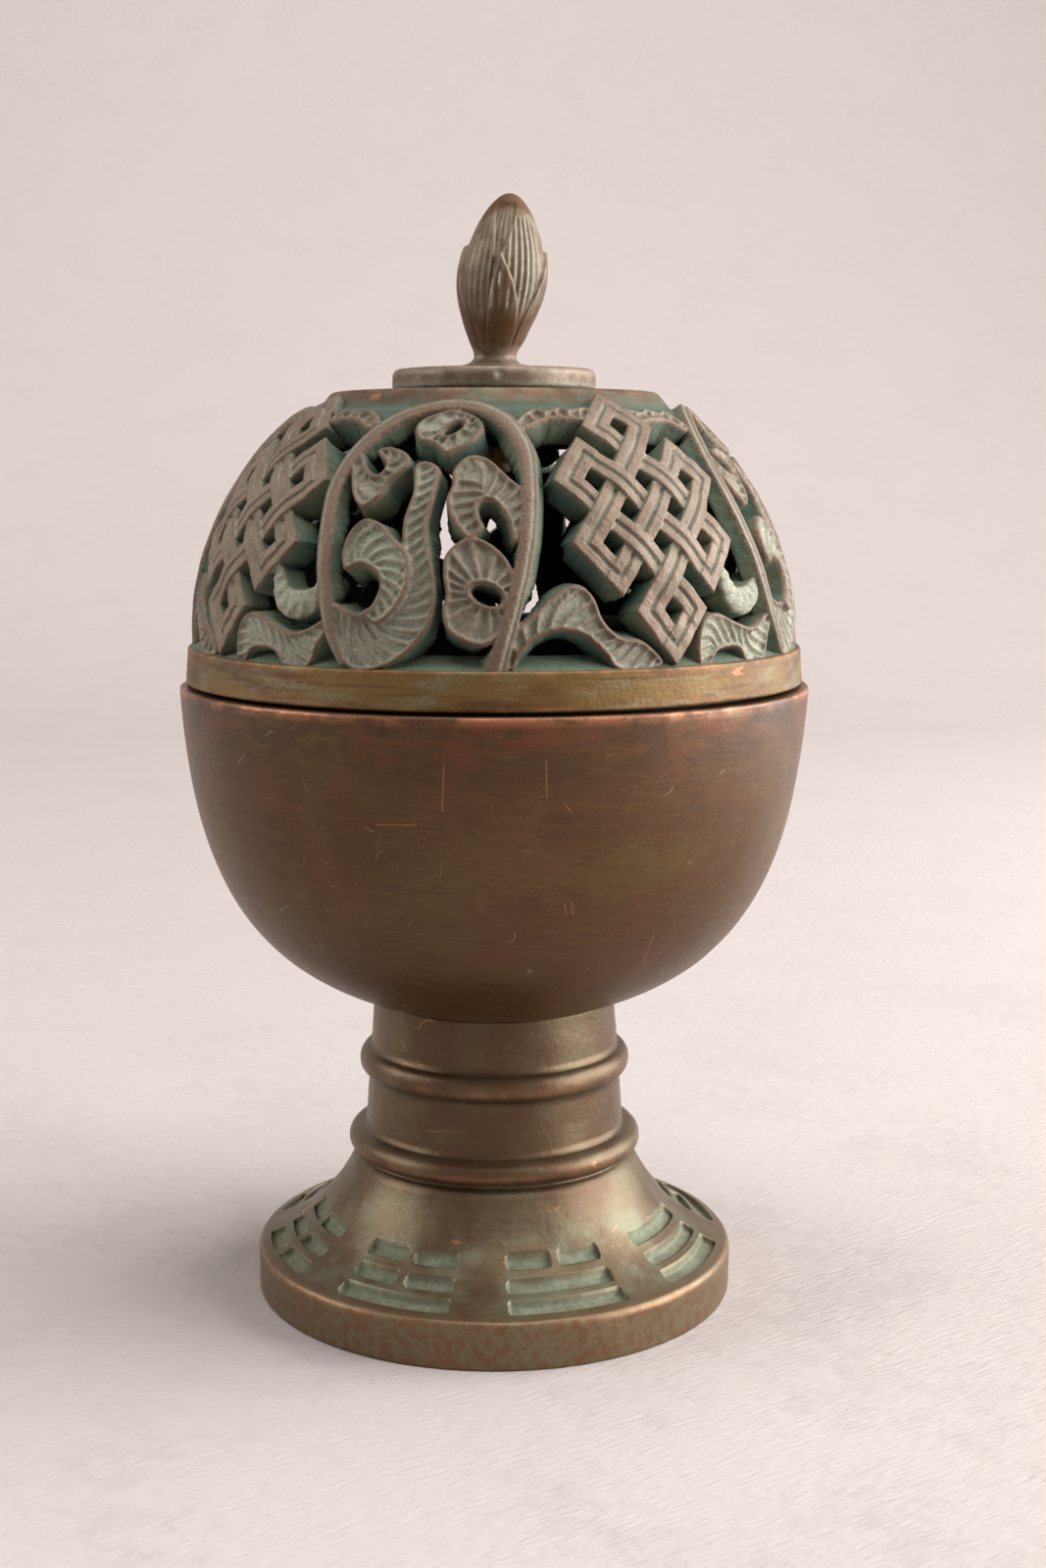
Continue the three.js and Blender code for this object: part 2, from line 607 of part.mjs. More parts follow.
function knotShape() {
  const corners = KNOT_CORNERS.map(([p, q, sideP, sideQ]) =>
    knotPlace(p + sideP * KNOT_STRAP, q + sideQ * KNOT_STRAP),
  );
  const shape = new THREE.Shape(corners);
  const half = 0.5 - KNOT_STRAP;
  KNOT_HOLES.forEach(([p, q]) => {
    const sides = [[-1, -1], [-1, 1], [1, 1], [1, -1]];
    shape.holes.push(new THREE.Path(sides.map(([a, b]) => knotPlace(p + a * half, q + b * half))));
  });
  return shape;
}

// Extrudes a drawn shape through the wall of the lid and bends it onto the dome.
function onDome(shape, azimuth, { lift, depth }) {
  const geometry = new THREE.ExtrudeGeometry(shape, { depth: 1, bevelEnabled: false, steps: 1 });
  const position = geometry.attributes.position;
  for (let i = 0; i < position.count; i++) {
    const rise = position.getY(i);
    const turn = azimuth + position.getX(i) / Math.cos(rise);
    const radius = domeRadius + THREE.MathUtils.lerp(-depth * ORNAMENT_DEPTH, lift * RELIEF, position.getZ(i));
    const reach = radius * Math.cos(rise);
    position.setXYZ(i, reach * Math.sin(turn), -reach * Math.cos(turn), domeCentre + radius * Math.sin(rise));
  }
  return solidOf(geometry);
}

function bandProfile() {
  const spigotRadius = mouthRadius - SPIGOT_CLEARANCE;
  const spigotInside = spigotRadius - SPIGOT_WALL;
  const bandTopRadius = bandRadius - BAND_TAPER;
  return [
    [spigotInside, lidBase - SPIGOT_DEPTH],
    [spigotRadius, lidBase - SPIGOT_DEPTH],
    [spigotRadius, lidBase],
    [bandRadius - BAND_ROUND, lidBase],
    [bandRadius, lidBase + BAND_ROUND],
    [bandTopRadius, bandTop - BAND_ROUND],
    [bandTopRadius - BAND_ROUND, bandTop],
    [spigotInside, bandTop],
  ];
}

function domePoint(radius, rise) {
  return [radius * Math.cos(rise), domeCentre + radius * Math.sin(rise)];
}

function crownProfile() {
  const ground = domeRadius - CROWN_SUNK;
  const inside = ground - DOME_WALL;
  const insideTop = Math.asin((crownUnder - domeCentre) / inside);
  const collarRadius = ground * Math.cos(COLLAR_FOOT) - COLLAR_SET_IN;
  return [
    domePoint(inside, CROWN_EDGE),
    domePoint(ground, CROWN_EDGE),
    domePoint(ground, COLLAR_FOOT),
    [collarRadius, collarFoot + COLLAR_FOOT_RISE],
    [collarRadius - COLLAR_TAPER, collarTop],
    [studBore, collarTop],
    [studBore, crownUnder],
    domePoint(inside, insideTop),
  ];
}

function lidDome() {
  const pieces = [turnedSolid(bandProfile(), BODY_SIDES), turnedSolid(crownProfile(), BODY_SIDES)];
  for (let panel = 0; panel < PANEL_COUNT; panel++) {
    const turn = (panel * 2 * Math.PI) / PANEL_COUNT;
    const scroll = SCROLL_TURN + turn;
    const knot = KNOT_TURN + turn;
    SCROLL_LEAVES.forEach((leaf) => pieces.push(onDome(leafShape(leaf), scroll, leaf)));
    pieces.push(onDome(stemShape(VINE.stations, VINE_STEPS), scroll, VINE));
    KNOT_LEAVES.forEach((leaf) => pieces.push(onDome(leafShape(leaf), knot, leaf)));
    pieces.push(onDome(stemShape(CRESCENT.stations, CRESCENT_STEPS), knot, CRESCENT));
    pieces.push(onDome(knotShape(), knot, KNOT_RELIEF));
  }
  return geometryOf(pieces.reduce((whole, piece) => whole.add(piece)));
}

// Knob

function knobDisc() {
  const top = discBase + DISC_HEIGHT;
  const profile = [
    [studBore, discBase],
    [DISC_RADIUS - DISC_ROUND, discBase],
    [DISC_RADIUS, discBase + DISC_ROUND],
    [DISC_RADIUS, top - DISC_ROUND],
    [DISC_RADIUS - DISC_ROUND, top],
    [studBore, top],
  ];
  return turned(profile, BODY_SIDES);
}

const studWasherTop = crownUnder - SEAT_GAP;
const studNutTop = studWasherTop - STUD_WASHER_THICKNESS - SEAT_GAP;
const studEnd = studNutTop - STUD_NUT_HEIGHT - STUD_END;

const budCurve = new THREE.CubicBezierCurve(
  new THREE.Vector2(BUD_NECK_RADIUS, budNeck),
  new THREE.Vector2(BUD_NECK_RADIUS + BUD_SWELL.x, budNeck + BUD_SWELL.y),
  new THREE.Vector2(BUD_TIP.x, budTop + BUD_TIP.y),
  new THREE.Vector2(0, budTop),
);

// The bud stands a little crooked on its straight stud.
function leaned(geometry) {
  const position = geometry.attributes.position;
  for (let i = 0; i < position.count; i++) {
    const rise = Math.max(position.getZ(i) - budBase, 0);
    position.setX(i, position.getX(i) + rise * BUD_LEAN);
  }
  return geometry;
}

function budBody() {
  const swell = budCurve.getPoints(BUD_STEPS).map((point) => [point.x, point.y]);
  swell[swell.length - 1][0] = 0;
  const profile = [
    [0, studEnd],
    [STUD_RADIUS, studEnd],
    [STUD_RADIUS, budBase],
    ...rounded([BUD_FOOT_RADIUS, budBase], [BUD_NECK_RADIUS, budBase + BUD_FOOT_RISE], swell[0], EDGE_STEPS),
    ...swell.slice(1),
  ];
  return turned(profile, SMALL_SIDES);
}

// A sepal: the part of a slightly larger bud that lies behind a pointed leaf seen from one side.
function sepal(direction) {
  const proud = budCurve.getPoints(BUD_STEPS).map((point) => [point.x + SEPAL_PROUD, point.y]);
  const shell = turnedSolid([[0, proud[0][1]], ...proud, [0, proud[proud.length - 1][1]]], SMALL_SIDES);
  const leaf = new THREE.Shape();
  const widest = SEPAL_WIDEST * SEPAL_TIP_RISE;
  const shoulder = new THREE.Vector2(SEPAL_HALF_WIDTH, SEPAL_TIP_RISE).multiply(SEPAL_SHOULDER);
  leaf.moveTo(0, SEPAL_FOOT_RISE);
  leaf.quadraticCurveTo(SEPAL_HALF_WIDTH, SEPAL_FOOT_RISE, SEPAL_HALF_WIDTH, widest);
  leaf.quadraticCurveTo(shoulder.x, shoulder.y, 0, SEPAL_TIP_RISE);
  leaf.quadraticCurveTo(-shoulder.x, shoulder.y, -SEPAL_HALF_WIDTH, widest);
  leaf.quadraticCurveTo(-SEPAL_HALF_WIDTH, SEPAL_FOOT_RISE, 0, SEPAL_FOOT_RISE);
  const reach = 2 * BUD_FOOT_RADIUS;
  const settings = { depth: reach, bevelEnabled: false, curveSegments: EDGE_STEPS };
  const cutter = new THREE.ExtrudeGeometry(leaf, settings);
  cutter.rotateX(Math.PI / 2).translate(0, 0, budBase).rotateZ(direction);
  return shell.intersect(solidOf(cutter));
}

function knobBud() {
  let bud = solidOf(budBody());
  for (let i = 0; i < SEPAL_COUNT; i++) bud = bud.add(sepal((i * 2 * Math.PI) / SEPAL_COUNT));
  return leaned(geometryOf(bud));
}

// The burner

const burner = new THREE.Group();

function addPiece(name, geometry, color, roughness) {
  const material = new THREE.MeshStandardMaterial({ color, roughness, metalness: 1 });
  const piece = new THREE.Mesh(geometry, material);
  piece.name = name;
  burner.add(piece);
  return piece;
}

addPiece("pedestal", pedestal(), 0x6b5a48, 0.42);
addPiece("bowl", bowl(), 0x6e4a35, 0.38);
addPiece("stem_bolt", stemBolt(), 0x9a7b45, 0.4);
addPiece("stem_washer", washer(boltBore, WASHER_RADIUS, WASHER_THICKNESS, stemWasherTop), 0x94774a, 0.4);
const stemNut = addPiece("stem_nut", hexNut(boltBore, NUT_WALL, NUT_HEIGHT), 0x9a7b45, 0.4);
stemNut.position.z = stemNutTop - NUT_HEIGHT;
addPiece("incense_holder", incenseHolder(), 0x8a6a3c, 0.45);
addPiece("lid_dome", lidDome(), 0x74695a, 0.5);
addPiece("knob_disc", knobDisc(), 0x6a6250, 0.45);
addPiece("knob_bud", knobBud(), 0x6d5f50, 0.45);
const studWasher = washer(studBore, STUD_WASHER_RADIUS, STUD_WASHER_THICKNESS, studWasherTop);
addPiece("knob_washer", studWasher, 0x94774a, 0.4);
const studNut = addPiece("knob_nut", hexNut(studBore, STUD_NUT_WALL, STUD_NUT_HEIGHT), 0x9a7b45, 0.4);
studNut.position.z = studNutTop - STUD_NUT_HEIGHT;

export default burner;
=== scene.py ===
"""Brass incense burner: a footed bowl under a pierced, domed lid with a lotus-bud knob.

Shapes are worked out in millimetres and put into meshes in metres.
Azimuth 0 faces -Y, towards the camera, and grows towards +X.
"""

from types import SimpleNamespace

import bpy
import numpy as np
from mathutils import Euler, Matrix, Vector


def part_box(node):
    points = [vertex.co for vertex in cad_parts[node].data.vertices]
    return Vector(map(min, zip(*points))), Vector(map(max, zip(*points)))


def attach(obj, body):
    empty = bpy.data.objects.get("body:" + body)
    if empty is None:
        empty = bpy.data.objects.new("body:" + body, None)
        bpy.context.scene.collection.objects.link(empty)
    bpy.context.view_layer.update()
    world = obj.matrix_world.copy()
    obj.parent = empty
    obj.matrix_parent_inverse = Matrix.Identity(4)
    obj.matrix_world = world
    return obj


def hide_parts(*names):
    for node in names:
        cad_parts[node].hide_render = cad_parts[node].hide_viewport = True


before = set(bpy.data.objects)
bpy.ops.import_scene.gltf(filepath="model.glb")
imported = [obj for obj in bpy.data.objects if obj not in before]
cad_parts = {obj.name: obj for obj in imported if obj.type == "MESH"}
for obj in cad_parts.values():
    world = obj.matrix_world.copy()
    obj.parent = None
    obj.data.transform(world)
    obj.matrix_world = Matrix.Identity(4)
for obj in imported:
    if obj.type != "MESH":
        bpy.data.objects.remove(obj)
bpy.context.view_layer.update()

bl_info = {
    "name": "Incense burner",
    "version": (1, 0, 0),
    "blender": (4, 5, 0),
    "location": "3D View > Sidebar > Burner",
    "description": "Builds the castings and finishes of a brass incense burner",
    "category": "Add Mesh",
}

MM = 0.001
TURN_STEPS = 320  # points round the larger castings


def node_top(node):
    """Highest point of a CAD node, in millimetres."""
    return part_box(node)[1].z / MM


def node_base(node):
    """Lowest point of a CAD node, in millimetres."""
    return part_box(node)[0].z / MM


def node_reach(node):
    """Furthest point of a CAD node towards +X, in millimetres."""
    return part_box(node)[1].x / MM


# Settings that a user would change


def length(name, description, millimetres):
    """A length as a setting, given in millimetres."""
    return bpy.props.FloatProperty(
        name=name, description=description, default=millimetres * MM, unit="LENGTH", precision=5
    )


def linear(*tone):
    """Scene-linear colour of an sRGB tone given from 0 to 255."""
    share = np.array(tone) / 255
    return tuple(np.where(share <= 0.04045, share / 12.92, ((share + 0.055) / 1.055) ** 2.4))


def colour(name, description, *tone):
    """A colour as a setting, given as an sRGB tone from 0 to 255."""
    return bpy.props.FloatVectorProperty(
        name=name, description=description, default=linear(*tone), subtype="COLOR", min=0, max=1
    )


class BurnerSizes(bpy.types.PropertyGroup):
    """Sizes of the castings."""

    foot_radius: length("Foot radius", "Radius of the foot", node_reach("pedestal"))
    foot_rim_height: length("Foot rim height", "Upright edge of the foot", 5.3)
    foot_wall: length("Foot wall", "Width of the ring that the foot stands on", 3.6)
    flare_radius: length("Flare radius", "Radius where the flare of the foot meets the stem", 17.4)
    flare_height: length("Flare height", "Height of the top of the flare", 16.22)
    stem_radius: length("Stem radius", "Radius at the foot of the stem", 16.2)
    stem_top_radius: length("Stem top radius", "Radius where the stem meets the bowl", 14.7)
    stem_wall: length("Stem wall", "Thickness of the hollow stem", 3.4)
    trigram_depth: length("Trigram depth", "How deep the trigrams are sunk", 0.95)
    bowl_radius: length("Bowl radius", "Radius of the bowl at its rim", node_reach("bowl"))
    bowl_base_radius: length("Bowl base radius", "Radius of the bowl where it meets the stem", 14.9)
    bowl_wall: length("Bowl wall", "Thickness of the bowl", 3.0)
    bowl_floor: length("Bowl floor", "Thickness of the bowl's floor", 3.5)
    band_radius: length("Band radius", "Radius of the lid's band", 36.75)
    band_height: length("Band height", "Height of the lid's band", 4.25)
    spigot_depth: length("Spigot depth", "How far the lid reaches into the bowl", 4.0)
    dome_radius: length("Dome radius", "Radius of the pierced dome", 36.0)
    crown_sunk: length("Crown sunk", "Ground of the crown below the faces of the ornament", 0.7)
    disc_radius: length("Disc radius", "Radius of the disc under the knob", node_reach("knob_disc"))
    bud_neck_radius: length("Bud neck radius", "Thinnest part of the bud's stalk", 2.5)
    bud_radius: length("Bud radius", "Widest part of the bud under its sepals", 4.95)
    bud_foot_radius: length("Bud foot radius", "Flared foot of the bud's stalk", 3.9)
    grid_step: length("Grid step", "Mesh spacing on the pierced ornament", 0.15)


class BurnerColours(bpy.types.PropertyGroup):
    """Colours of the finishes."""

    bowl_brown: colour("Bowl brown", "Main patina of the bowl", 87, 57, 25)
    bowl_dark: colour("Bowl dark", "Darker streaks on the bowl", 67, 45, 23)
    bowl_olive: colour("Bowl olive", "Greyer patches on the bowl", 94, 72, 36)
    red_copper: colour("Red copper", "Patina near the rim", 108, 55, 34)
    # Besides the wear, this colour is laid along the bowl's rim edge as a painted highlight.
    bare_copper: colour("Bare copper", "Worn edges", 178, 116, 82)
    stem_brown: colour("Stem brown", "Patina of stem and foot", 87, 65, 44)
    stem_olive: colour("Stem olive", "Greyer patina of stem and foot", 100, 86, 62)
    side_brown: colour("Side brown", "Side of the foot", 114, 83, 58)
    side_olive: colour("Side olive", "Greener patches on the side of the foot", 114, 101, 76)
    worn_bronze: colour("Worn bronze", "Faces of the pierced ornament", 142, 126, 108)
    dark_bronze: colour("Dark bronze", "Unworn patina of the ornament", 116, 100, 80)
    rim_brown: colour("Rim brown", "Rims of leaves and the vine", 98, 75, 56)
    green: colour("Green", "Patina in sunk places", 118, 128, 105)
    pale_green: colour("Pale green", "Chalky patina in fine lines", 172, 175, 156)
    teal: colour("Teal", "Patina on the walls of the piercings", 85, 111, 100)
    # This colour is the real smoke on the insides, and it is also painted over the crown and collar as shade
    # under the disc.
    soot_and_shade: colour("Soot", "Smoked inside of lid and bowl", 25, 27, 22)
    band_olive: colour("Band olive", "Patina of the lid's band", 112, 86, 43)
    brass: colour("Brass", "Bolt, nuts, washers and holder", 168, 134, 78)
    floor_pale: colour("Floor", "Floor that the burner stands on", 188, 178, 174)
    floor_grey: colour("Floor grey", "Greyer patches of the floor", 180, 171, 167)


def in_millimetres(group):
    """The lengths of a settings group as plain numbers in millimetres."""
    return SimpleNamespace(**{key: getattr(group, key) / MM for key in group.__annotations__})


# Curves and fields


def smooth(low, high, value):
    """0 at low and 1 at high, easing in and out between them; low may be the greater."""
    share = np.clip((value - low) / (high - low), 0, 1)
    return share * share * (3 - 2 * share)


def bell(value, middle, width):
    """1 at middle, falling to 1/e at width from it."""
    return np.exp(-(((value - middle) / width) ** 2))


def bezier(start, first_handle, second_handle, end, steps):
    """Cubic curve: the four points weighted by (1-t)^3, 3t(1-t)^2, 3t^2(1-t) and t^3."""
    t = np.linspace(0, 1, steps + 1)[:, None]
    points = np.array([start, first_handle, second_handle, end], float)
    weights = np.hstack([(1 - t) ** 3, 3 * t * (1 - t) ** 2, 3 * t**2 * (1 - t), t**3])
    return weights @ points


def flowing(points, closed, steps):
    """Smooth line through given points: between two points, the Catmull-Rom cubic of them and their
    neighbours."""
    points = np.array(points, float)
    if closed:
        padded = np.vstack([points[-1:], points, points[:2]])
    else:
        padded = np.vstack([2 * points[:1] - points[1:2], points, 2 * points[-1:] - points[-2:-1]])
    before, start, end, after = padded[:-3, None], padded[1:-2, None], padded[2:-1, None], padded[3:, None]
    t = np.arange(steps)[None, :, None] / steps
    line = 0.5 * (
        2 * start
        + (end - before) * t
        + (2 * before - 5 * start + 4 * end - after) * t**2
        + (3 * start - before - 3 * end + after) * t**3
    )
    line = line.reshape(-1, points.shape[1])
    return line if closed else np.vstack([line, points[-1:]])


def uneven(places, wavelength, seed, waves=14):
    """Smooth field of about -1 to 1 over places in space: a sum of sine waves in seeded directions and
    lengths."""
    draw = np.random.default_rng(seed)
    directions = draw.normal(size=(waves, places.shape[-1]))
    directions /= np.linalg.norm(directions, axis=1)[:, None]
    turns = 2 * np.pi / (wavelength * draw.uniform(0.6, 1.7, waves))
    phases = draw.uniform(0, 2 * np.pi, waves)
    return np.sin(places @ (directions * turns[:, None]).T + phases).sum(-1) / np.sqrt(2 * waves)


def beside_line(x, y, line):
    """For each point: its distance to a polyline, how far along the line the nearest place is, and the
    side, 1 on the left and -1 on the right."""
    start, step = line[:-1], np.diff(line, axis=0)
    lengths = np.hypot(step[:, 0], step[:, 1])
    to_x, to_y = x[:, None] - start[:, 0], y[:, None] - start[:, 1]
    share = np.clip((to_x * step[:, 0] + to_y * step[:, 1]) / lengths**2, 0, 1)
    gaps = np.hypot(to_x - share * step[:, 0], to_y - share * step[:, 1])
    nearest = gaps.argmin(1)
    rows = np.arange(len(x))
    along = np.concatenate([[0], np.cumsum(lengths)])[nearest] + share[rows, nearest] * lengths[nearest]
    turn = step[nearest, 0] * to_y[rows, nearest] - step[nearest, 1] * to_x[rows, nearest]
    return gaps[rows, nearest], along, np.sign(turn)


def within(x, y, outline):
    """Even-odd rule: inside where a line towards +x crosses the outline an odd number of times."""
    end = np.roll(outline, -1, axis=0)
    spans = (outline[:, 1] > y[:, None]) != (end[:, 1] > y[:, None])
    rise = np.where(end[:, 1] == outline[:, 1], 1, end[:, 1] - outline[:, 1])
    crossing = outline[:, 0] + (y[:, None] - outline[:, 1]) * (end[:, 0] - outline[:, 0]) / rise
    return (spans & (x[:, None] < crossing)).sum(1) % 2 == 1


def outline_distance(x, y, outline):
    """Distance to a closed outline, negative inside."""
    gap, _, _ = beside_line(x, y, np.vstack([outline, outline[:1]]))
    return np.where(within(x, y, outline), -gap, gap)


def edge_round(distance, radius):
    """Drop of a quarter-round edge: 0 deeper inside than the radius, the full radius at the outline."""
    share = np.clip(1 + distance / radius, 0, 1)
    return radius * (1 - np.sqrt(1 - share**2))


# Meshes


def new_piece(name, points, triangles, uv, attributes, body, nodes):
    """A smooth mesh from points in millimetres, triangles of point numbers and one uv for each triangle
    corner."""
    mesh = bpy.data.meshes.new(name)
    mesh.vertices.add(len(points))
    mesh.vertices.foreach_set("co", (points * MM).astype(np.float32).ravel())
    mesh.loops.add(triangles.size)
    mesh.loops.foreach_set("vertex_index", triangles.astype(np.int32).ravel())
    mesh.polygons.add(len(triangles))
    mesh.polygons.foreach_set("loop_start", np.arange(0, triangles.size, 3, dtype=np.int32))
    mesh.update(calc_edges=True)
    mesh.shade_smooth()
    layer = mesh.uv_layers.new(name="OFBake")
    layer.uv.foreach_set("vector", uv.astype(np.float32).ravel())
    for label, values in attributes.items():
        kept = mesh.attributes.new(label, "FLOAT", "POINT")
        kept.data.foreach_set("value", values.astype(np.float32).ravel())
    if mesh.validate():
        raise RuntimeError(f"{name} has faces that are not valid")
    piece = bpy.data.objects.new(name, mesh)
    bpy.context.scene.collection.objects.link(piece)
    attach(piece, body)
    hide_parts(*nodes)
    return piece


def eased(corners, steps=6, margin=0.05):
    """Profile through corners of (radius, height, round). A corner becomes a parabola that leaves each
    side at its round from the corner, with one more point just outside it so that the flats stay flat."""
    places = np.array([corner[:2] for corner in corners], float)
    line = []
    for i, (_, _, reach) in enumerate(corners):
        corner, back, on = places[i], places[i - 1], places[(i + 1) % len(places)]
        if reach == 0:
            line.append(corner[None])
            continue
        to_back = (back - corner) / np.linalg.norm(back - corner)
        to_on = (on - corner) / np.linalg.norm(on - corner)
        t = np.linspace(0, 1, steps + 1)[:, None]
        start, end = corner + to_back * reach, corner + to_on * reach
        bend = (1 - t) ** 2 * start + 2 * t * (1 - t) * corner + t**2 * end
        line.append(np.vstack([start + to_back * margin, bend, end + to_on * margin]))
    return np.vstack(line)


def spread(profile, longest, closed=True):
    """The same profile with points added so that no stretch is longer than a given length."""
    path = np.vstack([profile, profile[:1]]) if closed else profile
    steps = np.hypot(*np.diff(path, axis=0).T)
    counts = np.maximum(np.ceil(steps / longest).astype(int), 1)
    starts = np.repeat(np.arange(len(steps)), counts)
    share = np.concatenate([np.arange(count) / count for count in counts])[:, None]
    line = path[starts] * (1 - share) + path[starts + 1] * share
    return line if closed else np.vstack([line, path[-1:]])


def turned(profile, azimuths):
    """Profile carried round +Z: a point at radius r and azimuth a lies at x = r sin a, y = -r cos a."""
    radius, height = profile[:, 0][:, None], profile[:, 1][:, None]
    return np.stack(
        np.broadcast_arrays(radius * np.sin(azimuths), -radius * np.cos(azimuths), height), axis=-1
    )


def around(count):
    """Azimuths of a full turn, starting at the back so that the seam of the UV map is out of sight."""
    return np.pi + np.arange(count) * 2 * np.pi / count


def pushed(points, radius, rise):
    """Turned points moved straight out from the axis; radius is that of each row and rise the way for
    each point."""
    outward = points * [1, 1, 0] / np.maximum(radius, 0.2)[:, None, None]
    return points + outward * rise[..., None]


def halves(grid):
    """Corners of the two triangles of each cell of a grid, as the grid's own values: point numbers or
    places."""
    first = np.stack([grid[:-1, :-1], grid[:-1, 1:], grid[1:, 1:]], axis=2)
    second = np.stack([grid[:-1, :-1], grid[1:, 1:], grid[1:, :-1]], axis=2)
    return np.concatenate([first, second]).reshape(-1, 3, *grid.shape[2:])


def turned_piece(name, points, attributes, body, nodes, closed=True):
    """Mesh of a grid of points, rows along a profile and columns round the axis. A row that lies at one
    place becomes one point. Attributes have a value for each row or for each point. The UV map is the
    unrolled grid: turn across, length along the profile up."""
    rows, columns = points.shape[:2]
    ids = np.arange(rows * columns).reshape(rows, columns)
    at_one_place = np.ptp(points, axis=1).max(1) < 1e-6
    ids[at_one_place] = ids[at_one_place][:, :1]
    ids = np.column_stack([ids, ids[:, 0]])
    path = points
    if closed:
        ids = np.vstack([ids, ids[:1]])
        path = np.vstack([points, points[:1]])
    stretch = np.linalg.norm(np.diff(path, axis=0), axis=-1).mean(1)
    up = np.concatenate([[0], np.cumsum(stretch)]) / stretch.sum()
    unrolled = np.stack(np.meshgrid(np.arange(columns + 1) / columns, up), axis=-1)
    triangles, uv = halves(ids), halves(unrolled)
    whole = np.diff(np.sort(triangles, axis=1), axis=1).all(axis=1)
    used, renumbered = np.unique(triangles[whole], return_inverse=True)
    flat = {}
    for label, values in attributes.items():
        values = values if values.ndim == 2 else values[:, None]
        flat[label] = np.broadcast_to(values, (rows, columns)).ravel()[used]
    places = points.reshape(-1, 3)[used]
    return new_piece(name, places, renumbered.reshape(-1, 3), uv[whole], flat, body, nodes)


# Finishes


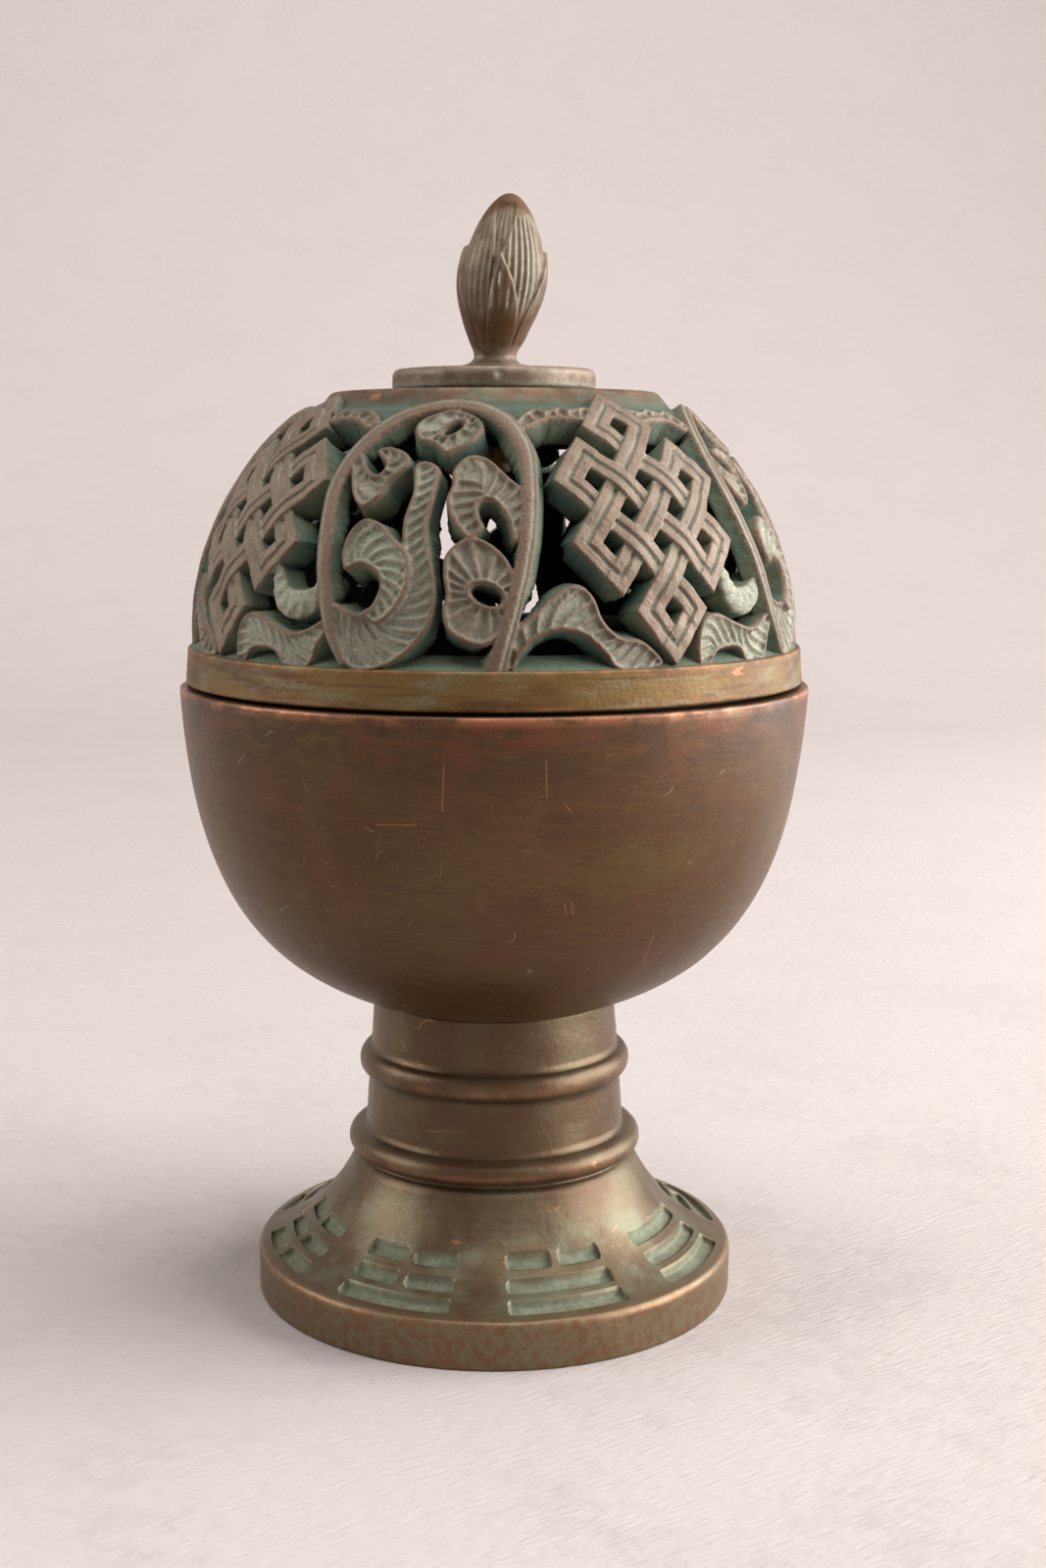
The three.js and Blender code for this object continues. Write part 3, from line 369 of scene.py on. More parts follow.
class Shading:
    """A tree of nodes, and the coordinates that its patterns are laid out in."""

    def __init__(self, tree, coordinates):
        self.tree = tree
        self.place = self.node("TexCoord", {})[coordinates]

    def node(self, kind, inputs, **settings):
        """Outputs of a new node. Settings are its own, and inputs has a value or an output for each
        socket."""
        node = self.tree.nodes.new("ShaderNode" + kind)
        for key, setting in settings.items():
            setattr(node, key, setting)
        for key, value in inputs.items():
            self.feed(node.inputs[key], value)
        return node.outputs

    def feed(self, socket, value):
        """Puts a value, or the output of another node, on a socket."""
        if isinstance(value, bpy.types.NodeSocket):
            self.tree.links.new(value, socket)
        elif socket.type == "RGBA":
            socket.default_value = (*value, 1)
        else:
            socket.default_value = value

    def noise(self, size, detail=4, stretch=(1, 1, 1), turn=(0, 0, 0), rough=0.55, shift=0):
        """Cloudy value from 0 to 1 with features of a size in millimetres, drawn out by stretch along
        each axis."""
        layout = {
            "Vector": self.place,
            "Location": [shift * MM] * 3,
            "Rotation": Euler(np.radians(turn)),
            "Scale": stretch,
        }
        mapped = self.node("Mapping", layout, vector_type="TEXTURE")["Vector"]
        pattern = {"Vector": mapped, "Scale": 1 / (size * MM), "Detail": detail, "Roughness": rough}
        return self.node("TexNoise", pattern)["Fac"]

    def specks(self, size, reach):
        """1 in small spots, one in some cells of a size in millimetres, 0 elsewhere; reach is a share of
        the cell."""
        cells = self.node("TexVoronoi", {"Vector": self.place, "Scale": 1 / (size * MM)})
        spot = self.between(cells["Distance"], reach, reach * 0.5)
        kept = self.between(self.part(cells["Color"], "X"), 0.6, 0.7)
        return self.times(spot, kept)

    def part(self, value, letter):
        """One part, X, Y or Z, of a vector or a colour."""
        return self.node("SeparateXYZ", {0: value})[letter]

    def axis(self, letter):
        """Place along one axis, in metres."""
        return self.part(self.place, letter)

    def up(self, low, high, top=1.0):
        """Eases from 0 to top while the height goes from low to high, in millimetres."""
        return self.between(self.axis("Z"), low * MM, high * MM, 0, top)

    def attribute(self, name):
        """Value that the mesh keeps at its points under a name."""
        return self.node("Attribute", {}, attribute_name=name)["Fac"]

    def between(self, value, low, high, bottom=0.0, top=1.0):
        """Eases from bottom to top while value goes from low to high."""
        span = {"Value": value, "From Min": low, "From Max": high, "To Min": bottom, "To Max": top}
        return self.node("MapRange", span, interpolation_type="SMOOTHSTEP")["Result"]

    def combine(self, operation, first, second, clamp=True):
        """Two values put together, and held between 0 and 1 unless clamp is off or it is their
        difference."""
        clamp = clamp and operation != "SUBTRACT"
        return self.node("Math", {0: first, 1: second}, operation=operation, use_clamp=clamp)["Value"]

    def times(self, first, second):
        """Product of two values, held between 0 and 1."""
        return self.combine("MULTIPLY", first, second)

    def plus(self, first, second):
        """Sum of two values, held between 0 and 1."""
        return self.combine("ADD", first, second)

    def vector(self, operation, first, second, output="Vector"):
        """Result of a vector operation, as a vector or as a value."""
        return self.node("VectorMath", {0: first, 1: second}, operation=operation)[output]

    def mix(self, share, first, second):
        """Colour between two: the first at a share of 0, the second at 1."""
        return self.node("Mix", {"Factor": share, 6: first, 7: second}, data_type="RGBA")[2]

    def seen(self):
        """1 for rays from the camera, rays off shiny surfaces and rays through clear ones, else 0."""
        rays = self.node("LightPath", {})
        straight = self.plus(rays["Is Camera Ray"], rays["Is Transmission Ray"])
        return self.plus(straight, rays["Is Glossy Ray"])

    def scratches(self, size, stretch, turn, shift, width=0.008):
        """Fine broken lines: where a drawn-out noise passes its middle value, kept in a few patches."""
        line = self.noise(size, 1, stretch, turn, 0.4, shift)
        gap = self.combine("ABSOLUTE", self.combine("SUBTRACT", line, 0.5), 0.0)
        patch = self.between(self.noise(size * 1.6, 2, shift=shift + 40), 0.6, 0.66)
        return self.times(self.between(gap, width, width * 0.3), patch)

    def mark(self, start, end, width):
        """1 along a straight scratch on the front, between two places (x, z) in millimetres: the distance
        from a point to the stretch between them, seen from the front, under a width."""
        start, end = np.array([start[0], 0, start[1]]) * MM, np.array([end[0], 0, end[1]]) * MM
        along = end - start
        flat = self.vector("MULTIPLY", self.place, (1, 0, 1))
        offset = self.vector("SUBTRACT", flat, start)
        share = self.vector("DOT_PRODUCT", offset, along / (along @ along), "Value")
        share = self.combine("MAXIMUM", self.combine("MINIMUM", share, 1.0), 0.0)
        foot = self.node("VectorMath", {0: along, "Scale": share}, operation="SCALE")["Vector"]
        gap = self.vector("DISTANCE", offset, foot, "Value")
        front = self.between(self.axis("Y"), 0.0, -5 * MM)
        return self.times(self.between(gap, width * MM, width * 0.4 * MM), front)


class Finish(Shading):
    """A material made of coats of colour, one over the other, with its roughness and bump."""

    def __init__(self, name, metallic, tone):
        self.material = bpy.data.materials.new(name)
        self.material.use_nodes = True
        super().__init__(self.material.node_tree, "Object")
        self.shader = self.tree.nodes["Principled BSDF"]
        self.shader.inputs["Metallic"].default_value = metallic
        self.tone = tone

    def coat(self, share, tone):
        """Lays a tone over the coats so far; share is how much of it shows, from 0 to 1."""
        self.tone = self.mix(share, self.tone, tone)

    def surface(self, roughness, bumps):
        """Feeds the shader; bumps is a list of (value, height in millimetres)."""
        inputs = {"Base Color": self.tone, "Roughness": roughness}
        for value, rise in bumps:
            layer = {"Height": value, "Distance": rise * MM}
            if "Normal" in inputs:
                layer["Normal"] = inputs["Normal"]
            inputs["Normal"] = self.node("Bump", layer)["Normal"]
        for key, value in inputs.items():
            self.feed(self.shader.inputs[key], value)
        return self.material


# Scratches on the front of the bowl: start and end as (x, z), and width
BOWL_SCRATCHES = [
    ((-5.2, 69.9), (-5.4, 64.9), 0.07),
    ((5.4, 70.3), (5.5, 66.4), 0.05),
    ((-12.4, 63.1), (-8.2, 63.3), 0.07),
    ((7.3, 65.7), (8.2, 64.6), 0.06),
    ((16.5, 45.7), (17.6, 49.5), 0.05),
    ((7.5, 54.5), (7.7, 53.1), 0.08),
    ((8.2, 54.6), (8.5, 53.0), 0.06),
    ((-27.2, 69.4), (-28.1, 68.2), 0.08),
]


def bowl_finish(colours):
    """Brown patina over turned metal: faint level and slanting streaks, scuffed grain, a dark and reddish
    stain under the rim, copper on the rim's edge that is partly wear and partly a painted highlight, specks
    and a few scratches."""
    finish = Finish("bowl_patina", 0.4, colours.bowl_brown)
    streak = finish.noise(0.5, 5, (40, 40, 1))
    slant = finish.noise(0.6, 4, (22, 22, 1), (0, 12, 0), shift=7)
    patch = finish.noise(3.5, 6, (2, 2, 1), rough=0.65, shift=21)
    grain = finish.noise(0.45, 4, rough=0.7, shift=35)
    scour = finish.noise(0.3, 4, (12, 12, 1), rough=0.65, shift=91)
    finish.coat(finish.between(streak, 0.35, 0.7, 0, 0.4), colours.bowl_dark)
    finish.coat(finish.between(slant, 0.5, 0.72, 0, 0.5), colours.bowl_olive)
    finish.coat(finish.between(finish.noise(14, 4), 0.46, 0.66, 0, 0.7), colours.bowl_olive)
    finish.coat(finish.between(finish.noise(9, 4, shift=63), 0.5, 0.68, 0, 0.25), colours.red_copper)
    finish.coat(finish.between(grain, 0.5, 0.28, 0, 0.6), colours.bowl_dark)
    finish.coat(finish.between(scour, 0.5, 0.66, 0, 0.5), colours.bowl_dark)
    rim = node_top("bowl")
    stain = finish.up(rim - 11, rim - 1)
    dark = finish.times(stain, finish.between(patch, 0.52, 0.42))
    red = finish.times(stain, finish.between(patch, 0.5, 0.62))
    finish.coat(finish.times(dark, 0.75), colours.bowl_dark)
    finish.coat(finish.times(red, 0.55), colours.red_copper)
    # Copper along the rim's edge: partly wear, partly a painted highlight standing in for polished metal
    # catching the light.
    worn = finish.times(finish.attribute("edge"), finish.between(patch, 0.42, 0.56, 0.2, 1.0))
    marks = finish.plus(finish.specks(2.4, 0.04), finish.specks(1.3, 0.05))
    marks = finish.plus(marks, finish.times(stain, finish.specks(0.8, 0.1)))
    for start, end, width in BOWL_SCRATCHES:
        marks = finish.plus(marks, finish.mark(start, end, width))
    marks = finish.times(marks, finish.between(grain, 0.3, 0.5, 0.2, 0.6))
    finish.coat(finish.plus(worn, marks), colours.bare_copper)
    scuffs = finish.plus(finish.specks(1.7, 0.06), finish.scratches(2.2, (2, 2, 1), (0, -35, 0), 51))
    finish.coat(finish.times(scuffs, 0.25), colours.pale_green)
    finish.coat(finish.attribute("inside"), colours.soot_and_shade)
    rough = finish.between(grain, 0.3, 0.7, 0.34, 0.46)
    return finish.surface(rough, [(streak, 0.012), (patch, 0.06), (grain, 0.02), (marks, -0.02)])


def stem_finish(colours):
    """Greyer brown patina on foot and stem, green in the sunk trigrams and mottled on the foot's side,
    copper on the crests and the foot's edge."""
    finish = Finish("stem_patina", 0.6, colours.stem_brown)
    streak = finish.noise(0.5, 4, (30, 30, 1))
    mottle = finish.noise(2.2, 5, shift=14)
    grain = finish.noise(0.8, 4)
    hollow = finish.attribute("hollow")
    finish.coat(finish.between(finish.noise(9, 4), 0.38, 0.64), colours.stem_olive)
    finish.coat(finish.between(streak, 0.45, 0.75, 0, 0.3), colours.bowl_dark)
    blotch = finish.between(finish.noise(1.2, 6, rough=0.7, shift=81), 0.4, 0.58)
    finish.coat(finish.up(6.2, 5.2), finish.mix(blotch, colours.side_brown, colours.side_olive))
    haze = finish.times(finish.attribute("haze"), finish.between(finish.noise(4, 4, shift=9), 0.4, 0.66))
    finish.coat(finish.times(haze, 0.4), colours.green)
    sunk = finish.times(hollow, finish.between(mottle, 0.3, 0.5, 0.5, 0.85))
    chalk = finish.between(grain, 0.3, 0.7, 0, 0.4)
    finish.coat(sunk, finish.mix(chalk, colours.green, colours.pale_green))
    worn = finish.times(finish.attribute("edge"), finish.between(mottle, 0.4, 0.56, 0.1, 1.0))
    finish.coat(finish.times(worn, 0.3), colours.bare_copper)
    nicks = finish.plus(finish.specks(2.4, 0.05), finish.scratches(3, (3, 3, 1), (0, 12, 0), 33))
    finish.coat(finish.times(nicks, 0.5), colours.bare_copper)
    finish.coat(finish.attribute("inside"), colours.bowl_dark)
    rough = finish.between(hollow, 0, 1, 0.42, 0.75)
    return finish.surface(rough, [(streak, 0.012), (mottle, 0.05), (grain, 0.05)])


def ornament_finish(colours):
    """Worn bronze faces with brown rims, chalky green in carved lines, teal walls, copper flecks on the
    edges and a smoked inside."""
    finish = Finish("ornament_patina", 0.35, colours.dark_bronze)
    cloud = finish.noise(5, 4)
    grain = finish.noise(0.7, 5, rough=0.65)
    fine = finish.noise(0.22, 3)
    hollow, wall = finish.attribute("hollow"), finish.attribute("wall")
    mottle = finish.plus(finish.times(cloud, 0.6), finish.times(grain, 0.4))
    finish.coat(finish.between(mottle, 0.38, 0.62), colours.worn_bronze)
    brown = finish.times(finish.attribute("brown"), finish.between(grain, 0.25, 0.55, 0.6, 1.0))
    finish.coat(brown, colours.rim_brown)
    finish.coat(finish.between(grain, 0.42, 0.28, 0, 0.75), colours.bowl_dark)
    line = finish.times(hollow, finish.between(mottle, 0.3, 0.55, 0.5, 1.0))
    chalk = finish.times(finish.between(fine, 0.2, 0.6), finish.between(line, 0.05, 0.55))
    finish.coat(line, finish.mix(chalk, colours.teal, colours.pale_green))
    finish.coat(wall, finish.mix(finish.between(cloud, 0.35, 0.65), colours.teal, colours.green))
    flecks = finish.between(finish.noise(0.9, 5, shift=3), 0.54, 0.64)
    edge = finish.times(finish.attribute("edge"), flecks)
    finish.coat(finish.times(edge, 0.4), colours.bare_copper)
    finish.coat(finish.attribute("inside"), colours.soot_and_shade)
    rough = finish.between(finish.combine("MAXIMUM", hollow, wall), 0, 1, 0.42, 0.8)
    return finish.surface(rough, [(cloud, 0.12), (grain, 0.2), (fine, 0.09)])


def band_finish(colours):
    """Olive-brown patina of band and crown with green and copper flecks, turned lines, a smoked inside,
    and painted shade that darkens the crown and its collar under the disc."""
    finish = Finish("band_patina", 0.5, colours.band_olive)
    streak = finish.noise(0.4, 4, (40, 40, 1))
    cloud = finish.noise(2.5, 5, (4, 4, 1))
    grain = finish.noise(0.6, 5)
    hollow = finish.attribute("hollow")
    finish.coat(finish.between(cloud, 0.42, 0.66), colours.bowl_brown)
    finish.coat(finish.between(streak, 0.5, 0.75, 0, 0.6), colours.bowl_dark)
    green = finish.between(finish.noise(1.3, 5, (5, 5, 1), shift=17), 0.46, 0.66, 0, 0.6)
    olive = finish.mix(finish.between(grain, 0.4, 0.6, 0, 0.6), colours.side_olive, colours.green)
    finish.coat(green, olive)
    verdigris = finish.mix(grain, colours.teal, colours.green)
    finish.coat(finish.times(hollow, finish.between(grain, 0.2, 0.5)), verdigris)
    top = node_top("lid_dome")
    crown = finish.up(top - 8, top - 5)
    mould = finish.times(crown, finish.between(finish.noise(2.2, 5, shift=47), 0.36, 0.6))
    finish.coat(finish.times(mould, 0.7), verdigris)
    # Painted shade: crown and collar darkened towards the soot colour, standing in for the shade under the
    # disc.
    finish.coat(finish.times(crown, 0.45), colours.soot_and_shade)
    lip = finish.up(top - 2.2, top - 0.6)
    bare = finish.times(lip, finish.between(finish.noise(1.2, 5, shift=71), 0.4, 0.56, 0.2, 0.9))
    finish.coat(bare, colours.stem_brown)
    worn = finish.times(finish.attribute("edge"), finish.between(finish.noise(2, 4, shift=5), 0.42, 0.6))
    flecks = finish.between(finish.noise(1.6, 4, (3, 3, 1), shift=29), 0.66, 0.72, 0, 0.55)
    finish.coat(finish.plus(finish.times(worn, 0.3), flecks), colours.bare_copper)
    finish.coat(finish.attribute("inside"), colours.soot_and_shade)
    rough = finish.between(hollow, 0, 1, 0.5, 0.75)
    return finish.surface(rough, [(streak, 0.03), (grain, 0.07)])


def knob_finish(colours):
    """Grey-brown patina with dark stains, chalky green in the flutes, brown at the tip and tan on stalk
    and disc."""
    finish = Finish("knob_patina", 0.45, colours.stem_brown)
    cloud = finish.noise(4, 4)
    grain = finish.noise(0.6, 4)
    foot, tip = node_top("knob_disc"), node_top("knob_bud")
    finish.coat(finish.between(cloud, 0.36, 0.64), colours.dark_bronze)
    finish.coat(finish.up(foot + 4.5, foot + 2, 0.4), colours.worn_bronze)
    finish.coat(finish.between(finish.noise(1.6, 5, shift=19), 0.48, 0.6, 0, 0.5), colours.bowl_dark)
    finish.coat(finish.times(finish.attribute("brown"), 0.7), colours.bowl_brown)
    line = finish.times(finish.attribute("hollow"), finish.between(grain, 0.2, 0.55))
    finish.coat(line, colours.pale_green)
    finish.coat(finish.times(finish.attribute("edge"), 0.5), colours.worn_bronze)
    top = finish.up(tip - 3, tip - 1.5)
    finish.coat(finish.times(top, 0.9), colours.bowl_brown)
    finish.coat(finish.attribute("bare"), colours.pale_green)
    rough = finish.plus(finish.between(grain, 0.3, 0.7, 0.5, 0.6), finish.times(top, 0.1))
    return finish.surface(rough, [(grain, 0.05), (cloud, 0.05)])


def brass_finish(colours):
    """Dull turned brass, browner in patches."""
    finish = Finish("dull_brass", 0.9, colours.brass)
    streak = finish.noise(0.3, 4, (20, 20, 1))
    cloud = finish.noise(3, 4)
    finish.coat(finish.between(cloud, 0.4, 0.66), colours.bowl_brown)
    finish.coat(finish.between(streak, 0.5, 0.75, 0, 0.4), colours.bowl_dark)
    rough = finish.between(cloud, 0.3, 0.7, 0.34, 0.52)
    return finish.surface(rough, [(streak, 0.02)])


def dress(pieces, material):
    """Gives each piece a material in place of any that it has."""
    for piece in pieces:
        piece.data.materials.clear()
        piece.data.materials.append(material)


# Pedestal

SHANK_BORE = 3.3  # radius of the hole for the bolt, in stem and bowl
STEM_WEB = 4.5  # thickness of the stem's top
FOOT_EDGE = (-0.7, 0.42)  # how far the rounded edge of the foot goes in and up
FLARE_HANDLES = ((-5.6, 2.2), (2.2, -5.0))  # of the curve of the flare, from its foot and from its top
TRIGRAM_TURN = 18.8  # degrees, azimuth of the first trigram
TRIGRAM_SWEEP = 30.2  # degrees that a line takes up
TRIGRAM_BREAK = 2.8  # degrees, the gap in a broken line
TRIGRAM_ROWS = [(27.7, 25.9), (24.95, 23.5), (22.35, 21.05)]  # outer and inner radius of each line
# Each row is one trigram from the outer line inwards, going round by eighths; true is an unbroken line.
TRIGRAMS = [
    (True, True, False),
    (True, True, True),
    (True, False, True),
    (False, True, True),
    (False, True, False),
    (False, False, True),
    (False, False, False),
    (True, False, False),
]
CUT_WALL = 0.15  # half the width of a sunk line's sloping wall
CUT_ROUND = 0.45  # of a sunk line's corners
BEADS = [(18.62, 2.0), (28.52, 1.3)]  # height of the middle and how far it stands out
BEAD_HALF_HEIGHT = 1.5


def trigram_azimuths():
    """Azimuths of an even turn, with close lines on both sides of every end of a trigram's lines."""
    ends = np.array([-TRIGRAM_SWEEP, -TRIGRAM_BREAK, TRIGRAM_BREAK, TRIGRAM_SWEEP]) / 2
    close = np.array([-0.8, -0.5, -0.24, -0.08, 0.08, 0.24, 0.5, 0.8])
    middles = TRIGRAM_TURN + np.arange(len(TRIGRAMS)) * 360 / len(TRIGRAMS)
    lines = (middles[:, None, None] + ends[:, None] + close).ravel()
    even = np.arange(0, 360, 2.4)
    clear = np.abs((even[:, None] - lines + 180) % 360 - 180).min(1) > 0.4
    return np.radians(np.sort(np.concatenate([lines % 360, even[clear]])))


def sunk_lines(azimuths, radii):
    """Share of the full depth, 0 to 1, of the trigrams at each radius and azimuth: the distance to each
    bar's rounded edge, negative inside, eased over the width of its wall. The floors deepen towards the
    stem."""
    turn = np.degrees(azimuths)[None, :]
    depth = np.zeros((len(radii), len(azimuths)))
    for place, lines in enumerate(TRIGRAMS):
        middle = TRIGRAM_TURN + place * 360 / len(TRIGRAMS)
        aside = np.abs((turn - middle + 180) % 360 - 180)
        for (outer, inner), unbroken in zip(TRIGRAM_ROWS, lines):
            past_end = aside - TRIGRAM_SWEEP / 2
            if not unbroken:
                past_end = np.maximum(past_end, TRIGRAM_BREAK / 2 - aside)
            past_end = np.radians(past_end) * radii[:, None]
            past_side = np.abs(radii - (outer + inner) / 2)[:, None] - (outer - inner) / 2
            into_corner = np.maximum(past_end + CUT_ROUND, 0), np.maximum(past_side + CUT_ROUND, 0)
            past = np.maximum(np.hypot(*into_corner) - CUT_ROUND, np.maximum(past_end, past_side))
            slope = 0.7 + 0.3 * np.clip((outer - radii) / (outer - inner), 0, 1)[:, None]
            depth = np.maximum(depth, smooth(CUT_WALL, -CUT_WALL, past) * slope)
    return depth


def pedestal_profile(size):
    """Closed profile up the outside, over the top and down the hollow, with close rows across the
    trigrams."""
    top = node_top("pedestal")
    foot_edge = np.array([size.foot_radius, size.foot_rim_height]) + FOOT_EDGE
    flare_top = np.array([size.flare_radius, size.flare_height])
    rim = bezier(
        (size.foot_radius, size.foot_rim_height - 0.8),
        (size.foot_radius, size.foot_rim_height + 0.1),
        foot_edge + [0.3, -0.1],
        foot_edge,
        8,
    )
    fine = bezier(foot_edge, foot_edge + FLARE_HANDLES[0], flare_top + FLARE_HANDLES[1], flare_top, 200)
    close = np.array([-0.42, -0.24, -CUT_WALL, 0, CUT_WALL, 0.24, 0.42])
    edges = np.array(TRIGRAM_ROWS).ravel()[:, None] + close
    radii = np.unique(np.concatenate([edges.ravel(), np.linspace(size.flare_radius, foot_edge[0], 44)]))[::-1]
    flare = np.column_stack([radii, np.interp(radii, fine[::-1, 0], fine[::-1, 1])])
    angles = np.linspace(-np.pi / 2, np.pi / 2, 19)
    moulded = []
    for middle, proud in BEADS:
        heights = middle + BEAD_HALF_HEIGHT * np.sin(angles)
        share = (heights - size.flare_height) / (top - size.flare_height)
        plain = size.stem_radius + (size.stem_top_radius - size.stem_radius) * share
        moulded.append(np.column_stack([plain + proud * np.cos(angles) ** 0.8, heights]))
    web = top - STEM_WEB
    inside = size.foot_radius - size.foot_wall
    rest = eased(
        [
            (*moulded[-1][-1], 0),
            (size.stem_top_radius, top, 0.25),
            (SHANK_BORE, top, 0.2),
            (SHANK_BORE, web, 0.2),
            (size.stem_top_radius - size.stem_wall + 0.3, web, 0.6),
            (size.stem_radius - size.stem_wall, size.flare_height - size.stem_wall, 1.0),
            (size.flare_radius + 1.2, size.flare_height + FLARE_HANDLES[1][1] - size.stem_wall, 1.0),
            (inside, foot_edge[1] - size.stem_wall, 0.6),
            (inside, 0, 0.3),
            (size.foot_radius, 0, 0.35),
            (*rim[0], 0),
        ],
        4,
    )
    return spread(np.vstack([rim, flare[1:], *moulded, rest[1:-1]]), 1.1)


class BURNER_OT_pedestal(bpy.types.Operator):
    """Foot with sunk trigrams and beaded stem, one hollow casting"""

    bl_idname = "burner.pedestal"
    bl_label = "Pedestal"

    def execute(self, context):
        size = in_millimetres(context.scene.burner_sizes)
        profile = pedestal_profile(size)
        azimuths = trigram_azimuths()
        radius, height = profile[:, 0], profile[:, 1]
        top_edge = np.hypot(radius - size.stem_top_radius, height - node_top("pedestal")).argmin()
        outside = (np.arange(len(profile)) <= top_edge) | (radius > size.foot_radius - 0.3)
        on_flare = outside & (height > size.foot_rim_height) & (height < size.flare_height)
        hollow = sunk_lines(azimuths, radius) * on_flare[:, None]
        points = turned(profile, azimuths)
        dents = uneven(points, 9, 3) * 0.05 + uneven(points, 3, 4) * 0.018
        points = pushed(points, radius, dents * (smooth(0.2, 1.2, height) * outside)[:, None])
        points[..., 2] -= size.trigram_depth * hollow * (1 + 0.1 * uneven(points, 2.5, 6))
        crest = sum(bell(height, middle - 0.35, 0.5) for middle, _ in BEADS) * 0.8
        from_rim = np.hypot(size.foot_radius - 0.16 - radius, size.foot_rim_height - 0.1 - height)
        haze = smooth(17, 21.5, radius) * smooth(size.foot_radius - 0.4, size.foot_radius - 2.5, radius)
        foot_of_bead = sum(bell(height, middle - BEAD_HALF_HEIGHT, 0.5) for middle, _ in BEADS)
        attributes = {
            "hollow": hollow,
            "edge": (crest + 0.5 * bell(from_rim, 0, 0.3)) * outside,
            "haze": np.maximum(haze * on_flare, 0.6 * foot_of_bead * outside),
            "inside": 1.0 - outside,
        }
        piece = turned_piece("pedestal_casting", points, attributes, "stand", ["pedestal"])
        dress([piece], stem_finish(context.scene.burner_colours))
        return {"FINISHED"}


# Bowl

BOWL_SEAT = 0.02  # from the top of the stem up to the bowl, so that their faces stay apart
BOWL_HANDLES = ((14.6, 5.1), (-1.45, -23.7))  # of the curve of its side, from its foot and from its rim
RIM_ROUND = 0.45  # height that the round of the rim takes up


def bowl_outside(size):
    """Profile of the bowl's outside, from the stem up to the round of its rim."""
    foot = np.array([size.bowl_base_radius, node_top("pedestal") + BOWL_SEAT])
    rim = np.array([size.bowl_radius, node_top("bowl") - RIM_ROUND])
    return bezier(foot, foot + BOWL_HANDLES[0], rim + BOWL_HANDLES[1], rim, 90)


def bowl_profile(size, outer):
    """Closed profile up the outside, over the rim, down the inside at the wall's thickness, and round the
    hole."""
    rim, floor = node_top("bowl"), node_base("bowl") + size.bowl_floor
    along = np.gradient(outer, axis=0)
    along /= np.hypot(*along.T)[:, None]
    inner = outer + np.column_stack([-along[:, 1], along[:, 0]]) * size.bowl_wall
    inner = inner[(inner[:, 1] > floor + 1.2) & (inner[:, 1] < rim - 1.0)][::-1]
    top = eased(
        [
            (*outer[-1], 0),
            (size.bowl_radius, rim, 0.38),
            (size.bowl_radius - size.bowl_wall, rim, 0.5),
            (*inner[0], 0),
        ],
        5,
    )
    under = eased(
        [
            (*inner[-1], 0),
            (inner[-1, 0] - 2.2, floor, 1.4),
            (SHANK_BORE, floor, 0.2),
            (SHANK_BORE, outer[0, 1], 0.2),
            (*outer[0], 0),
        ]
    )
    return spread(np.vstack([outer, top[1:-1], inner, under[1:-1]]), 0.8)


class BURNER_OT_bowl(bpy.types.Operator):
    """Turned bowl with a worn rim"""

    bl_idname = "burner.bowl"
    bl_label = "Bowl"

    def execute(self, context):
        size = in_millimetres(context.scene.burner_sizes)
        outer = bowl_outside(size)
        profile = bowl_profile(size, outer)
        base, rim = outer[0, 1], node_top("bowl")
        points = turned(profile, around(TURN_STEPS))
        radius, height = profile[:, 0], profile[:, 1]
        inside = radius < np.interp(height, outer[:, 1], outer[:, 0]) - 0.5 * size.bowl_wall
        dents = uneven(points, 16, 11) * 0.05 + uneven(points, 3.2, 12) * 0.012
        rim_wear = bell(height, rim - 0.2, 0.4)[:, None] * np.maximum(uneven(points, 2.2, 13), 0) * -0.12
        clear = smooth(base, base + 1.5, height)[:, None]
        points = pushed(points, radius, (dents * clear + rim_wear) * (radius > 5)[:, None])
        attributes = {
            # Rim's edge: worn copper, and also a painted highlight.
            "edge": bell(height, rim - 0.28, 0.2) * (radius > size.bowl_radius - 0.9),
            "inside": inside * (1 - 0.4 * smooth(rim - 14, rim - 1, height)),
        }
        piece = turned_piece("bowl_cup", points, attributes, "stand", ["bowl"])
        dress([piece], bowl_finish(context.scene.burner_colours))
        return {"FINISHED"}


# Holder and fasteners

FASTENERS = ("stem_bolt", "stem_washer", "stem_nut", "knob_washer", "knob_nut")
HOLDER_FOOT = (7.8, 9.6)  # inner and outer radius of the ring that the holder stands on
HOLDER_SOCKET = (1.6, 3.6)  # radius of the hole for a stick, and of the post round it
HOLDER_HEIGHTS = (4.2, 5.8, 8.8)  # of its underside, its floor and its lip over its base


